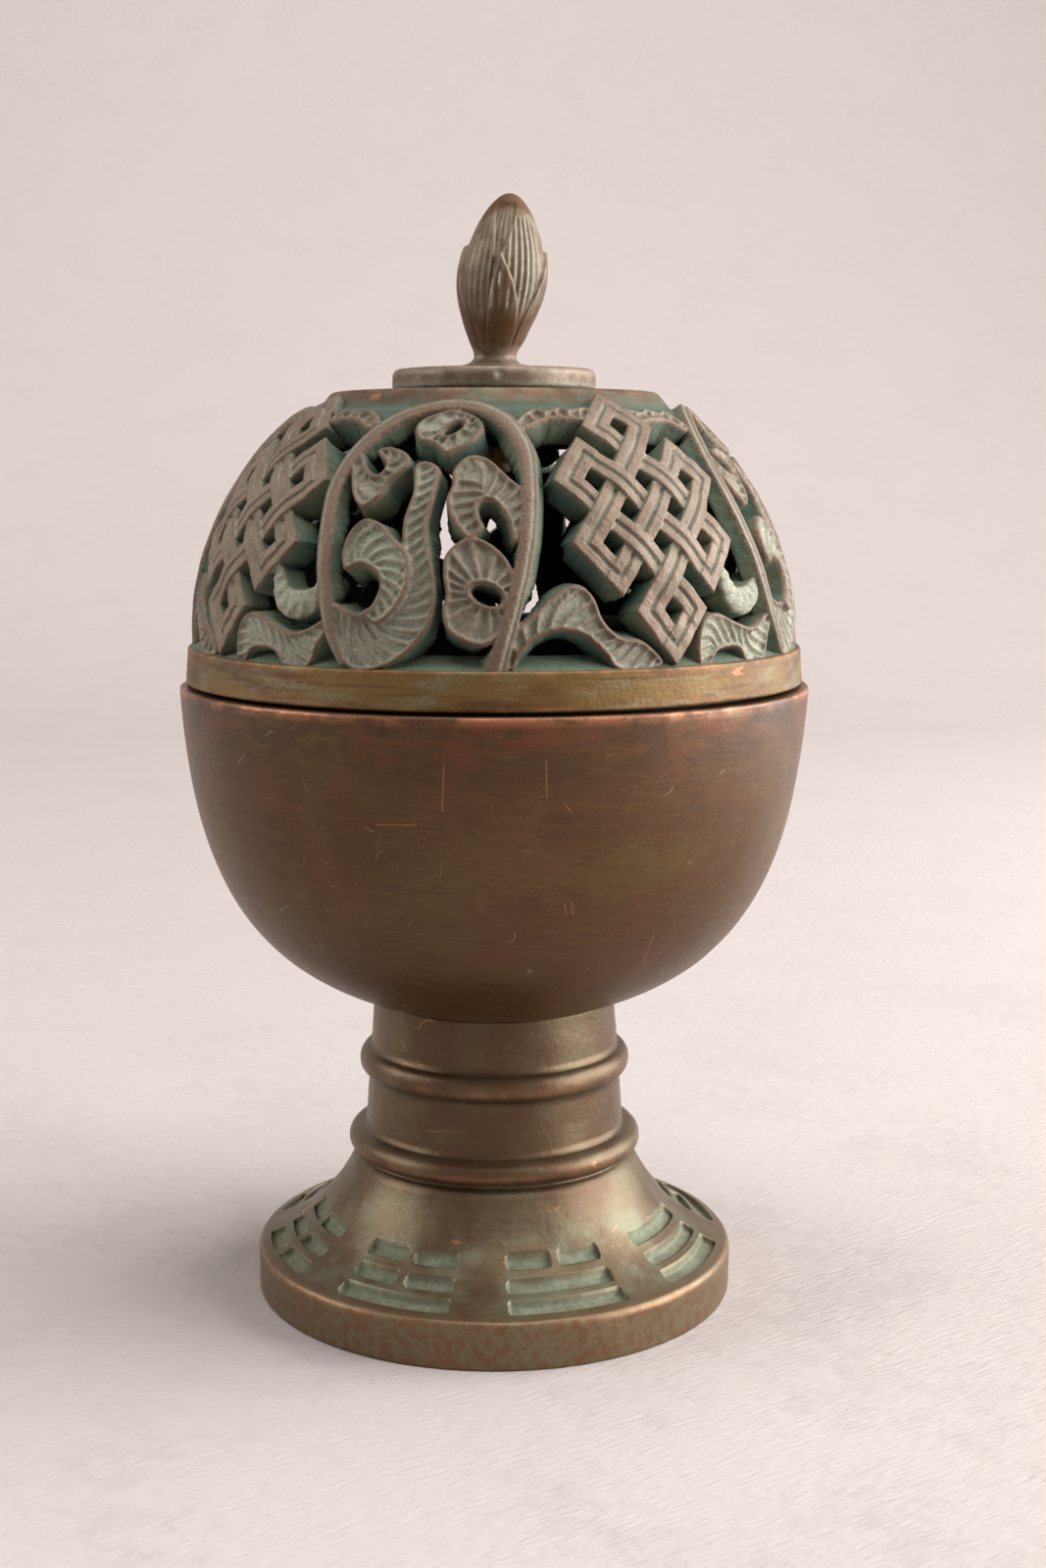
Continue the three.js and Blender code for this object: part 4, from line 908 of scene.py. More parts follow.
class BURNER_OT_holder(bpy.types.Operator):
    """Loose dish with a stick socket, and the finish of the bolts, nuts and washers"""

    bl_idname = "burner.holder"
    bl_label = "Holder and fasteners"

    def execute(self, context):
        base, top = node_base("incense_holder"), node_top("incense_holder")
        reach = node_reach("incense_holder")
        under, dish, lip = base + np.array(HOLDER_HEIGHTS)
        profile = eased(
            [
                (0, under, 0),
                (HOLDER_FOOT[0], under, 0.3),
                (HOLDER_FOOT[0], base, 0.3),
                (HOLDER_FOOT[1], base, 0.3),
                (HOLDER_FOOT[1], under, 0.5),
                (reach - 2.2, under + 0.2, 1.2),
                (reach, dish + 0.4, 1.2),
                (reach, lip, 0.5),
                (reach - 1.4, lip, 0.5),
                (reach - 1.6, dish, 1.2),
                (HOLDER_SOCKET[1], dish, 0.5),
                (HOLDER_SOCKET[1], top, 0.4),
                (HOLDER_SOCKET[0], top, 0.3),
                (HOLDER_SOCKET[0], dish, 0.2),
                (0, dish, 0),
            ]
        )
        points = turned(spread(profile, 0.7, closed=False), around(128))
        piece = turned_piece(
            "holder_dish", points, {}, "holder", ["incense_holder"], closed=False
        )
        material = brass_finish(context.scene.burner_colours)
        dress([piece, *(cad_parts[node] for node in FASTENERS)], material)
        return {"FINISHED"}


# Lid: ornament drawn flat, x round the dome and y up it from its equator, on a dome of DRAWN_RADIUS

LID_GAP = 0.4  # from the rim of the bowl up to the lid's band
SPIGOT_GAP = 0.4  # between the lid's spigot and the inside of the bowl
DRAWN_RADIUS = 36
PANEL_COUNT = 4
SCROLL_TURN = -12.6  # degrees, azimuth of the first scroll panel
KNOT_TURN = SCROLL_TURN + 180 / PANEL_COUNT
CROWN_EDGE = 29.7  # height up the dome where the piercing stops
COLLAR_FOOT = 32.6  # height up the dome where the collar begins
DOME_CENTRE_DROP = 0.45  # of the dome's centre below the top of the band


def dome_centre(size):
    """Height of the dome's centre, from which its ornament is drawn."""
    return node_top("bowl") + LID_GAP + size.band_height - DOME_CENTRE_DROP


# Leaves of a scroll panel: height over the dome, how green its field is, its outline, and the line that
# the veins cross, with their spacing and how far they lean along it for each unit to its left. A leaf
# round a hole has an eye instead, with its middle, its two half-widths and its turn in degrees, and a
# count of rays.
SCROLL_LEAVES = {
    "rising leaf": {
        "proud": -0.1,
        "patina": 0.9,
        "spacing": 1.4,
        "lean": 0.7,
        "outline": [
            (-2.2, 23.2), (-0.6, 23.7), (0.8, 22.3), (0.5, 18.5), (0.15, 15.5), (1.2, 11), (1.65, 8),
            (1, 5), (-1.2, 2.2), (-4.4, 0.4), (-8, 0.4), (-10.4, 4), (-10.8, 7.2), (-9.4, 7.1),
            (-7.2, 6.4), (-4.6, 6.8), (-2.8, 9.2), (-2.5, 13), (-2.6, 16.5), (-2, 20),
        ],
        "spine": [(-11, 6.5), (-7.5, 3.6), (-3.2, 4.2), (-0.6, 8), (-0.9, 13), (-1.1, 18), (-0.8, 23)],
    },
    "inner curl": {
        "proud": 0.3,
        "patina": 1.0,
        "spacing": 1.05,
        "lean": -0.5,
        "outline": [
            (-4.6, 5.1), (-2.4, 6.8), (-1.2, 9.6), (-1.5, 12.5), (-3.4, 14.5), (-4.8, 16), (-6.9, 16.5),
            (-8.6, 14.9), (-9.2, 12.4), (-8.6, 10.7), (-6.8, 11.3), (-5, 10.5), (-4.5, 9), (-5.3, 7.2),
            (-6.4, 6.3),
        ],
        "spine": [(-6.2, 5.4), (-4.4, 7.4), (-3.9, 9.6), (-4.6, 11.6), (-6.4, 12.4), (-8.6, 11.2)],
    },
    "upper curl": {
        "proud": 0,
        "patina": 0.6,
        "spacing": 1.25,
        "lean": 0.7,
        "outline": [
            (-6.9, 25.3), (-5.2, 25.7), (-3.2, 24.7), (-2.8, 22.9), (-4.7, 21), (-5.5, 19.1), (-7.4, 17.8),
            (-8.8, 19), (-9.6, 21.6), (-10, 24.6), (-8.6, 24.8), (-7.7, 22.9), (-6.3, 22), (-5.6, 23.3),
            (-6.6, 24.6),
        ],
        "spine": [(-6.4, 25), (-4.6, 23.9), (-5.2, 22.2), (-7.2, 21), (-8.3, 22.6), (-9.2, 24.8)],
    },
    "flower": {
        "proud": 0.05,
        "patina": 0.7,
        "rays": 11,
        "eye": (1.25, 28.2, 1.2, 0.65, 45),
        "outline": [
            (-3.1, 28.5), (-2, 30.2), (0.8, 31.2), (3.6, 30), (4.6, 28), (3.6, 26), (1.9, 24.9),
            (0.9, 24.6), (-0.6, 25.8), (-2.3, 26.5),
        ],
    },
    "hooked leaf": {
        "proud": 0,
        "patina": 0.45,
        "spacing": 1.35,
        "lean": 0.25,
        "outline": [
            (2.1, 22.6), (3.4, 24.4), (5.6, 24.1), (8.2, 21.6), (10.2, 19.5), (10.3, 15.5), (9.4, 13.8),
            (8.4, 16.6), (6.6, 18.7), (5.4, 18.4), (5.5, 17), (6.1, 15.6), (4.6, 14.3), (2.6, 16.4),
            (1.8, 18.8), (2.2, 20.7),
        ],
        "spine": [(4.6, 14.6), (3.9, 17), (3.8, 19.4), (4.6, 21.6), (6.8, 21), (8.8, 18.6), (9.6, 14.4)],
    },
    "ring leaf": {
        "proud": -0.05,
        "patina": 0.4,
        "rays": 17,
        "eye": (6.9, 8.4, 1.7, 1.05, -25),
        "outline": [
            (2.4, 12.9), (4.6, 14.7), (7.2, 13.8), (9.2, 11.7), (10, 9), (9.4, 5.5), (7.6, 3.2),
            (5.2, 3.2), (2.9, 4.5), (2.3, 6.6), (2.6, 8.4), (2.2, 10.6),
        ],
    },
    "arched leaf": {
        "proud": -0.25,
        "patina": 0.6,
        "spacing": 1.6,
        "lean": -0.6,
        "outline": [
            (9.4, 4.4), (12.2, 6.9), (14.6, 9), (16.6, 9.5), (18.4, 8.1), (19.6, 5.6), (21.6, 3.9),
            (24.2, 3.4), (26.8, 1.2), (25.6, 0.2), (21.4, 0.2), (19.6, 2.2), (17.2, 4.1), (14.6, 4.6),
            (12.2, 3.6), (10.6, 1.8), (9.9, 0.3), (8.6, 1.6),
        ],
        "spine": [(9.4, 1), (12, 4.4), (15, 5.6), (18, 4.6), (21, 2), (26, 0.6)],
    },
    "right frond": {
        "proud": -0.05,
        "patina": 0.25,
        "spacing": 1.3,
        "lean": 0.4,
        "outline": [
            (7.4, 28.6), (8.3, 30.6), (9.6, 31.6), (10.9, 31.3), (12.2, 31.9), (13.6, 31.5), (15.2, 31.8),
            (16.4, 30.6), (15.6, 29.4), (13.4, 29.7), (11, 29.6), (9, 28.2),
        ],
        "spine": [(7.6, 28.4), (10, 29.6), (13, 29.9), (16.4, 29.8)],
    },
    "left frond": {
        "proud": -0.05,
        "patina": 0.25,
        "spacing": 1.3,
        "lean": -0.4,
        "outline": [
            (-7.4, 28.6), (-8.2, 30.5), (-9.4, 31.6), (-10.8, 31.2), (-12.4, 31.8), (-13.9, 31.3),
            (-15.6, 31.6), (-17, 30.4), (-15.8, 29.4), (-13.4, 29.7), (-11, 29.6), (-9, 28.2),
        ],
        "spine": [(-7.6, 28.4), (-10, 29.6), (-13, 29.9), (-17, 29.8)],
    },
}
# Vine that arches over a scroll panel: height over the dome, how far out its groove runs as a share of the
# half-width, spacing of ribs, how brown it is, and x, y and half-width along its middle
VINE = {
    "proud": 0.35,
    "groove": 0.4,
    "ribs": 0,
    "brown": 0.8,
    "stations": [
        (8, 0.2, 1.25), (9.4, 5.2, 0.95), (10.5, 11, 0.9), (10.8, 16, 0.9), (10.3, 21.5, 0.95),
        (8.9, 26, 0.95), (6, 30, 0.95), (1.1, 32.1, 0.9), (-4.4, 30.4, 0.9), (-8.6, 26.3, 0.95),
        (-11.2, 20.8, 0.9), (-11.6, 14.5, 0.95), (-11.2, 9, 0.9), (-10.3, 4.6, 0.7), (-8.6, 1.2, 0.45),
    ],
}
# Leaf on the right of a knot, drawn from the knot's middle line
KNOT_LEAVES = {
    "resting leaf": {
        "proud": -0.25,
        "patina": 0.9,
        "spacing": 1.5,
        "lean": 0.9,
        "outline": [
            (3.5, 0.2), (3.4, 3.6), (4.6, 5.6), (6.8, 5.9), (9.6, 4.9), (12.4, 4.1), (14.6, 4.5),
            (17, 5.7), (17.4, 4.2), (16.4, 2.6), (15.2, 0.2), (11.6, 0.2), (10.2, 1.7), (8.2, 2),
            (6.3, 1.6), (5.2, 0.2),
        ],
        "spine": [(3.6, 1), (5.4, 3.6), (9, 3.2), (12.6, 2.2), (17.2, 4.6)],
    },
}
# Ribbed crescent over that leaf, put like the vine
CRESCENT = {
    "proud": -0.3,
    "stations": [(8.4, 10.9, 0.7), (9.9, 7.9, 1.3), (12, 7.0, 1.6), (14.2, 7.6, 1.4), (15.7, 9.2, 0.8)],
    "groove": 0,
    "ribs": 1.5,
    "brown": 0.1,
}
# Endless knot: a lattice of straps, one step of the lattice being KNOT_STEP across and down
KNOT_PROUD = 0.1  # height of the straps over the dome
KNOT_CENTRE_Y = 17.55
KNOT_STEP = (3.0, 3.7)
KNOT_STRAP = 0.295  # half the width of a strap, in lattice steps
# Straps one way: place across the lattice, and the two places along it where the strap turns a corner.
# The straps the other way are the same with the two directions exchanged.
KNOT_STRAPS = [
    (-1.5, -1.5, -0.5),
    (-1.5, 0.5, 1.5),
    (-0.5, -1.5, 2.5),
    (0.5, -1.5, 2.5),
    (1.5, -1.5, 2.5),
    (2.5, -0.5, 0.5),
    (2.5, 1.5, 2.5),
]
WEAVE_RISE = 0.27  # of a strap where it passes over another
STRAP_GROOVE = (0.4, 0.17)  # depth and half-width of the line cut along a strap
EDGE_ROUND = 0.32  # of a leaf's edges
BORDER_RISE = 0.14  # of the raised border of a leaf
BORDER_INSET = 0.42  # of its crest, in from the outline
BORDER_WIDTH = 0.26
FIELD_INSETS = (0.36, 0.72)  # where the field of a leaf begins to sink, and where it is at full depth
FIELD_DEPTH = 0.4
VEIN_RISE = 0.36  # of the veins over the field
CREASE_WIDTH = 0.35  # of the green line beside a piece that stands higher
PANEL_FOOT = 0.3  # height, inside the band, where the panels end
WALL_DEPTH = 3.4  # of the pierced dome, from face to back
VINE_THINNER = 1.6  # how much less that is along the vine
WALL_FLARE = 1.0  # how far the walls of a piercing lean into it, at most
FAR = 99.0  # further than anything drawn


def near(x, y, line, margin):
    """Points that lie in a line's box, grown by a margin."""
    low, high = line.min(0) - margin, line.max(0) + margin
    return (x > low[0]) & (x < high[0]) & (y > low[1]) & (y < high[1])


def leaf_relief(x, y, leaf):
    """Distance to a leaf's outline, height over the dome, and how sunk and how brown it is: a raised
    border, a sunk field and veins, cosines of the length along the spine plus lean times the distance to
    its left, or of the turn round an eye."""
    outline = flowing(leaf["outline"], True, 6)
    distance, height = np.full(len(x), FAR), np.full(len(x), -FAR)
    sunk, brown = np.zeros(len(x)), np.zeros(len(x))
    close = near(x, y, outline, 1.0)
    x, y = x[close], y[close]
    gap = outline_distance(x, y, outline)
    if "eye" in leaf:
        eye_x, eye_y, long, short, turn = leaf["eye"]
        angle = np.radians(turn)
        along = ((x - eye_x) * np.cos(angle) + (y - eye_y) * np.sin(angle)) / long
        across = ((y - eye_y) * np.cos(angle) - (x - eye_x) * np.sin(angle)) / short
        reach = np.hypot(along, across)
        gap = np.maximum(gap, (1 - reach) * np.sqrt(long * short))
        phase = np.arctan2(across, along) * leaf["rays"] / (2 * np.pi) + 0.06 * reach
    else:
        away, far_along, side = beside_line(x, y, flowing(leaf["spine"], False, 8))
        phase = (far_along + leaf["lean"] * away * side) / leaf["spacing"]
    field = smooth(*FIELD_INSETS, -gap)
    vein = (0.5 + 0.5 * np.cos(2 * np.pi * phase)) ** 2
    border = BORDER_RISE * bell(gap, -BORDER_INSET, BORDER_WIDTH)
    rise = border - field * (FIELD_DEPTH - VEIN_RISE * vein)
    distance[close] = gap
    height[close] = leaf["proud"] + rise - edge_round(gap, EDGE_ROUND)
    sunk[close] = field * (1 - 0.7 * vein) * leaf["patina"]
    brown[close] = np.maximum(0.9 * bell(gap, -0.2, 0.3), 0.8 * field * (1 - vein) * (1 - leaf["patina"]))
    return distance, height, sunk, brown


def stem_relief(x, y, stem):
    """The same for a stem: half-width changes along its middle line, its top is part of a circle, and it
    carries a groove beside its crest or ribs across it."""
    line = flowing(stem["stations"], False, 8)
    distance, height = np.full(len(x), FAR), np.full(len(x), -FAR)
    sunk, brown = np.zeros(len(x)), np.full(len(x), stem["brown"])
    close = near(x, y, line[:, :2], 2.0)
    x, y = x[close], y[close]
    away, along, side = beside_line(x, y, line[:, :2])
    lengths = np.concatenate([[0], np.cumsum(np.hypot(*np.diff(line[:, :2], axis=0).T))])
    half = np.interp(along, lengths, line[:, 2])
    share = np.clip(away / half, 0, 1)
    rise = 0.6 * half * (np.sqrt(1 - 0.8 * share**2) - 1)
    if stem["groove"]:
        cut = bell(share * -side, stem["groove"], 0.2)
        rise = rise - 0.16 * cut
        sunk[close] = 0.6 * cut
    if stem["ribs"]:
        rib = 0.5 + 0.5 * np.cos(2 * np.pi * (along + 0.5 * away) / stem["ribs"])
        rise = rise - 0.16 * (1 - rib)
        sunk[close] = 0.5 + 0.5 * (1 - rib)
    distance[close] = away - half
    height[close] = stem["proud"] + rise - edge_round(away - half, 0.2)
    return distance, height, sunk, brown


def joined_way(place, end):
    """Which way, 1 or -1, the strap runs that meets a strap's end at a corner: up or down the places
    across it."""
    for other_place, other_start, other_end in KNOT_STRAPS:
        if other_place == end and place in (other_start, other_end):
            return 1 if place == other_start else -1
    raise ValueError(f"no strap meets the end {end} of the strap at {place}")


def strap_reliefs(x, y):
    """The same for each strap of the knot, in lattice places p down-right and q down-left: a bar with a
    line cut along its middle that turns the corner into the next strap, rising and falling by a cosine so
    that it goes over and under the straps that it crosses."""
    across, down = x / KNOT_STEP[0], (KNOT_CENTRE_Y - y) / KNOT_STEP[1] + 1
    p, q = (down + across) / 2, (down - across) / 2
    step = 2 * KNOT_STEP[0] * KNOT_STEP[1] / np.hypot(*KNOT_STEP)
    for first, second, sign in ((p, q, 1), (q, p, -1)):
        for place, start, end in KNOT_STRAPS:
            aside = np.abs(first - place)
            beyond = np.abs(second - (start + end) / 2) - (end - start) / 2
            gap = step * (np.maximum(aside, beyond) - KNOT_STRAP)
            middle = np.hypot(aside, np.maximum(beyond, 0))
            for corner in (start, end):
                behind = np.maximum(-joined_way(place, corner) * (first - place), 0)
                middle = np.minimum(middle, np.hypot(second - corner, behind))
            weave = -sign * np.cos(np.pi * (place + second)) * smooth(-0.1, -0.5, beyond)
            cut = bell(step * middle, 0, STRAP_GROOVE[1])
            height = KNOT_PROUD + WEAVE_RISE * weave - STRAP_GROOVE[0] * cut - edge_round(gap, 0.18)
            yield gap, height, 0.95 * cut, 0.45 + 0.4 * bell(gap, -0.05, 0.2)


def layered(x, reliefs):
    """Pieces laid over one another: least distance, height of the top one, and how sunk and how brown it
    is. Just beside the edge of a piece that stands higher, the sunkness grows."""
    distance, height = np.full(len(x), FAR), np.full(len(x), -FAR)
    sunk, brown, nearest_height, crease = np.zeros((4, len(x)))
    for gap, rise, low, dark in reliefs:
        inside = gap < 0
        above = inside & (rise > height)
        over, under = smooth(-0.1, 0.1, rise - height), smooth(-0.1, 0.1, nearest_height - rise)
        beside_old = bell(distance, 0, CREASE_WIDTH) * (distance > 0) * under
        beside_new = bell(gap, 0, CREASE_WIDTH) * (gap > 0) * over
        crease = np.where(above, beside_old, crease)
        crease = np.where(inside, crease, np.maximum(crease, beside_new))
        height, sunk = np.where(above, rise, height), np.where(above, low, sunk)
        brown = np.where(above, dark, brown)
        nearest_height = np.where(gap < distance, rise, nearest_height)
        distance = np.minimum(distance, gap)
    height = np.where(distance < 0, height, nearest_height)
    return distance, height, np.clip(np.maximum(sunk, 0.8 * crease), 0, 1), brown


def footed(y, distance, *others):
    """A drawing cut off along a level line, so that its outline closes there."""
    return np.maximum(distance, PANEL_FOOT - y), *others


def scroll_relief(x, y):
    """Distance, height, sunkness and brownness of a scroll panel: leaves, and the vine over them."""
    leaves = [leaf_relief(x, y, leaf) for leaf in SCROLL_LEAVES.values()]
    return footed(y, *layered(x, [*leaves, stem_relief(x, y, VINE)]))


def scroll_depth(x, y):
    """From face to back, less along the vine."""
    return WALL_DEPTH - VINE_THINNER * smooth(0.8, -0.2, stem_relief(x, y, VINE)[0])


def knot_relief(x, y):
    """The same for a knot panel: a leaf and a crescent, and the straps over them."""
    leaves = [leaf_relief(x, y, leaf) for leaf in KNOT_LEAVES.values()]
    return footed(y, *layered(x, [*leaves, stem_relief(x, y, CRESCENT), *strap_reliefs(x, y)]))


def knot_depth(x, y):
    """From face to back, the same everywhere."""
    return np.full(len(x), WALL_DEPTH)


def trimmed(x_range, y_range, step, relief):
    """The part of a grid inside a drawing. Each cell is two triangles. A triangle that the outline
    crosses is cut along the line between the places where its sides cross it. Gives x, y, triangles and
    the cut sides in order."""
    xs = np.arange(*x_range, step)
    ys = np.arange(*y_range, step)
    x, y = (part.ravel() for part in np.meshgrid(xs, ys, indexing="ij"))
    distance = relief(x, y)[0]
    least = 0.06 * step
    distance = np.where(np.abs(distance) < least, np.where(distance < 0, -least, least), distance)
    ids = np.arange(len(x)).reshape(len(xs), len(ys))
    triangles = halves(ids.T)
    inside = distance[triangles] < 0
    count = inside.sum(1)
    whole = triangles[count == 3]

    def odd_first(chosen, odd):
        """Turns each triangle so that its odd corner comes first."""
        first = odd.argmax(1)
        return chosen[np.arange(len(chosen))[:, None], (first[:, None] + np.arange(3)) % 3]

    one = odd_first(triangles[count == 1], inside[count == 1])
    two = odd_first(triangles[count == 2], ~inside[count == 2])
    sides = np.vstack([one[:, [0, 1]], one[:, [0, 2]], two[:, [2, 0]], two[:, [1, 0]]])
    keys, cut = np.unique(np.sort(sides, axis=1), axis=0, return_inverse=True)
    cut = cut.ravel() + len(x)
    one_left, one_right = cut[: len(one)], cut[len(one) : 2 * len(one)]
    two_right, two_left = cut[2 * len(one) : 2 * len(one) + len(two)], cut[2 * len(one) + len(two) :]
    kept = np.vstack(
        [
            whole,
            np.column_stack([one[:, 0], one_left, one_right]),
            np.column_stack([two[:, 1], two[:, 2], two_right]),
            np.column_stack([two[:, 1], two_right, two_left]),
        ]
    )
    rim = np.vstack([np.column_stack([one_left, one_right]), np.column_stack([two_right, two_left])])
    share = distance[keys[:, 0]] / (distance[keys[:, 0]] - distance[keys[:, 1]])
    x = np.concatenate([x, x[keys[:, 0]] + share * (x[keys[:, 1]] - x[keys[:, 0]])])
    y = np.concatenate([y, y[keys[:, 0]] + share * (y[keys[:, 1]] - y[keys[:, 0]])])
    used, renumbered = np.unique(kept, return_inverse=True)
    lookup = np.zeros(len(x), int)
    lookup[used] = np.arange(len(used))
    return x[used], y[used], renumbered.reshape(-1, 3), lookup[rim]


def on_dome(x, y, height, turn, dome_radius, centre):
    """Bends drawn points onto the dome: y is an arc up from the equator and x an arc round it at that
    height."""
    rise = y / DRAWN_RADIUS
    azimuth = np.radians(turn) + x / (DRAWN_RADIUS * np.cos(rise))
    radius = dome_radius + height
    reach, up = radius * np.cos(rise), centre + radius * np.sin(rise)
    return np.column_stack([reach * np.sin(azimuth), -reach * np.cos(azimuth), up])


WALL_ROWS = (0.1, 0.35, 0.65, 0.9)  # shares of the depth where the walls of the piercings have points
WALL_UV_WIDTH = 0.4  # millimetres of the flat drawing that a wall is laid out in
BACK_UV_SIZE = 0.45  # of the back in the uv map, as a share of the face's


def wall_room(x, y, outwards, sides, step, relief):
    """How far each place on the outline can go outwards, up to the flare: its own side of the piercing
    stays the nearest for half as far again, so there the distance to the outline is the way gone. It
    changes by one grid step, at most, from each place to the next."""
    room = np.zeros(len(x))
    for way in np.linspace(0.2, 1, 5) * WALL_FLARE:
        further = 1.5 * way
        clear = relief(x + outwards[:, 0] * further, y + outwards[:, 1] * further)[0] > 0.85 * further
        room = np.where(clear & (room > way - 0.3 * WALL_FLARE), way, room)
    for _ in range(12):
        steady = room.copy()
        for one, other in (sides.T, sides.T[::-1]):
            np.minimum.at(steady, one, room[other] + step)
        room = steady
    return 0.8 * room


def wall_faces(rows, start, end):
    """Corners of the two triangles of each cell of the walls, from rows of values down them. A cell goes
    from one place on the outline, start, to the next, end."""
    upper, lower = rows[:-1], rows[1:]
    first = np.stack([upper[:, end], upper[:, start], lower[:, start]], axis=2)
    second = np.stack([upper[:, end], lower[:, start], lower[:, end]], axis=2)
    return np.concatenate([first, second]).reshape(-1, 3, *rows.shape[2:])


def pierced_panel(x_range, y_range, step, relief, depth):
    """One pierced panel, flat: its carved face, its back, and walls between them along the cut sides,
    which lean into the piercings. Gives drawn x, y and height of every point, triangles, uv and
    attributes. In the uv map the walls lie in the piercings."""
    x, y, face, rim = trimmed(x_range, y_range, step, relief)
    distance, height, sunk, brown = relief(x, y)
    count = len(x)
    border = np.unique(rim)
    order = np.zeros(count, int)
    order[border] = np.arange(len(border))
    start, end = order[rim].T
    along = np.column_stack([x[rim[:, 1]] - x[rim[:, 0]], y[rim[:, 1]] - y[rim[:, 0]]])
    outwards = np.zeros((len(border), 2))
    for places in (start, end):
        np.add.at(outwards, places, np.column_stack([along[:, 1], -along[:, 0]]))
    outwards /= np.maximum(np.hypot(*outwards.T), 1e-9)[:, None]
    room = wall_room(x[border], y[border], outwards, order[rim], step, relief)
    back_x, back_y = x.copy(), y.copy()
    back_x[border] += outwards[:, 0] * room
    back_y[border] += outwards[:, 1] * room
    back = edge_round(distance, 0.25) - depth(x, y)
    shares = np.array(WALL_ROWS)[:, None]
    wall_height = height[border] * (1 - shares) + back[border] * shares
    wobble = 0.06 * uneven(np.column_stack([x[border], y[border]]), 1.4, 31) * np.sin(np.pi * shares)
    lean = room * shares**1.5 + wobble
    points_x = np.concatenate([x, back_x, (x[border] + outwards[:, 0] * lean).ravel()])
    points_y = np.concatenate([y, back_y, (y[border] + outwards[:, 1] * lean).ravel()])
    heights = np.concatenate([height, back, wall_height.ravel()])
    wall_ids = 2 * count + np.arange(wall_height.size).reshape(wall_height.shape)
    walls = wall_faces(np.vstack([border, wall_ids, border + count]), start, end)
    triangles = np.vstack([face, face[:, ::-1] + count, walls])
    flat = np.column_stack([x, y]) - [x_range[0], y_range[0]]
    reach = np.concatenate([[0], WALL_ROWS, [1]])[:, None, None] * WALL_UV_WIDTH
    wall_uv = wall_faces(flat[border] + outwards * reach, start, end)
    tall = y_range[1] - y_range[0]
    back_uv = flat[face[:, ::-1]] * BACK_UV_SIZE + [0, tall + 1]
    whole = max((1 + BACK_UV_SIZE) * tall + 2, x_range[1] - x_range[0] + 1)
    uv = np.concatenate([flat[face], back_uv, wall_uv]) / whole
    plain = np.zeros(count)
    fade = np.repeat(WALL_ROWS, len(border))
    attributes = {
        "hollow": np.concatenate([sunk, plain + 1, 0 * fade]),
        "brown": np.concatenate([brown, plain, 0 * fade]),
        "edge": np.concatenate([bell(distance, -0.06, 0.16), plain, 0 * fade]),
        "wall": np.concatenate([smooth(-0.06, 0.02, distance) * 0.5, plain + 1, smooth(-0.1, 0.25, fade)]),
        "inside": np.concatenate([plain, plain + 1, 0.6 * smooth(0.5, 1, fade)]),
    }
    return points_x, points_y, heights, triangles, uv, attributes


SCROLL_BOX = ((-19.0, 28.2), (0.0, 34.2))
KNOT_BOX = ((-11.8, 18.6), (0.0, 34.6))


class BURNER_OT_ornament(bpy.types.Operator):
    """Pierced panels of the lid: scrolls of lotus leaves and endless knots"""

    bl_idname = "burner.ornament"
    bl_label = "Pierced ornament"

    def execute(self, context):
        size = in_millimetres(context.scene.burner_sizes)
        material = ornament_finish(context.scene.burner_colours)
        kinds = (
            ("scroll", SCROLL_TURN, SCROLL_BOX, scroll_relief, scroll_depth),
            ("knot", KNOT_TURN, KNOT_BOX, knot_relief, knot_depth),
        )
        for kind, first, box, relief, depth in kinds:
            x, y, height, triangles, uv, attributes = pierced_panel(*box, size.grid_step, relief, depth)
            for panel in range(PANEL_COUNT):
                turn = first + panel * 360 / PANEL_COUNT
                points = on_dome(x, y, height, turn, size.dome_radius, dome_centre(size))
                dents = np.stack([uneven(points, 6, 40 + axis) for axis in range(3)], axis=-1)
                points = points + 0.05 * dents
                name = f"lid_{kind}_{panel + 1}"
                piece = new_piece(name, points, triangles, uv, attributes, "lid", ["lid_dome"])
                dress([piece], material)
        return {"FINISHED"}


SILL_RISE = 1.4  # of the sloping sill behind the foot of the ornament
STUD_BORE = 2.3  # radius of the hole for the stud, in crown and disc


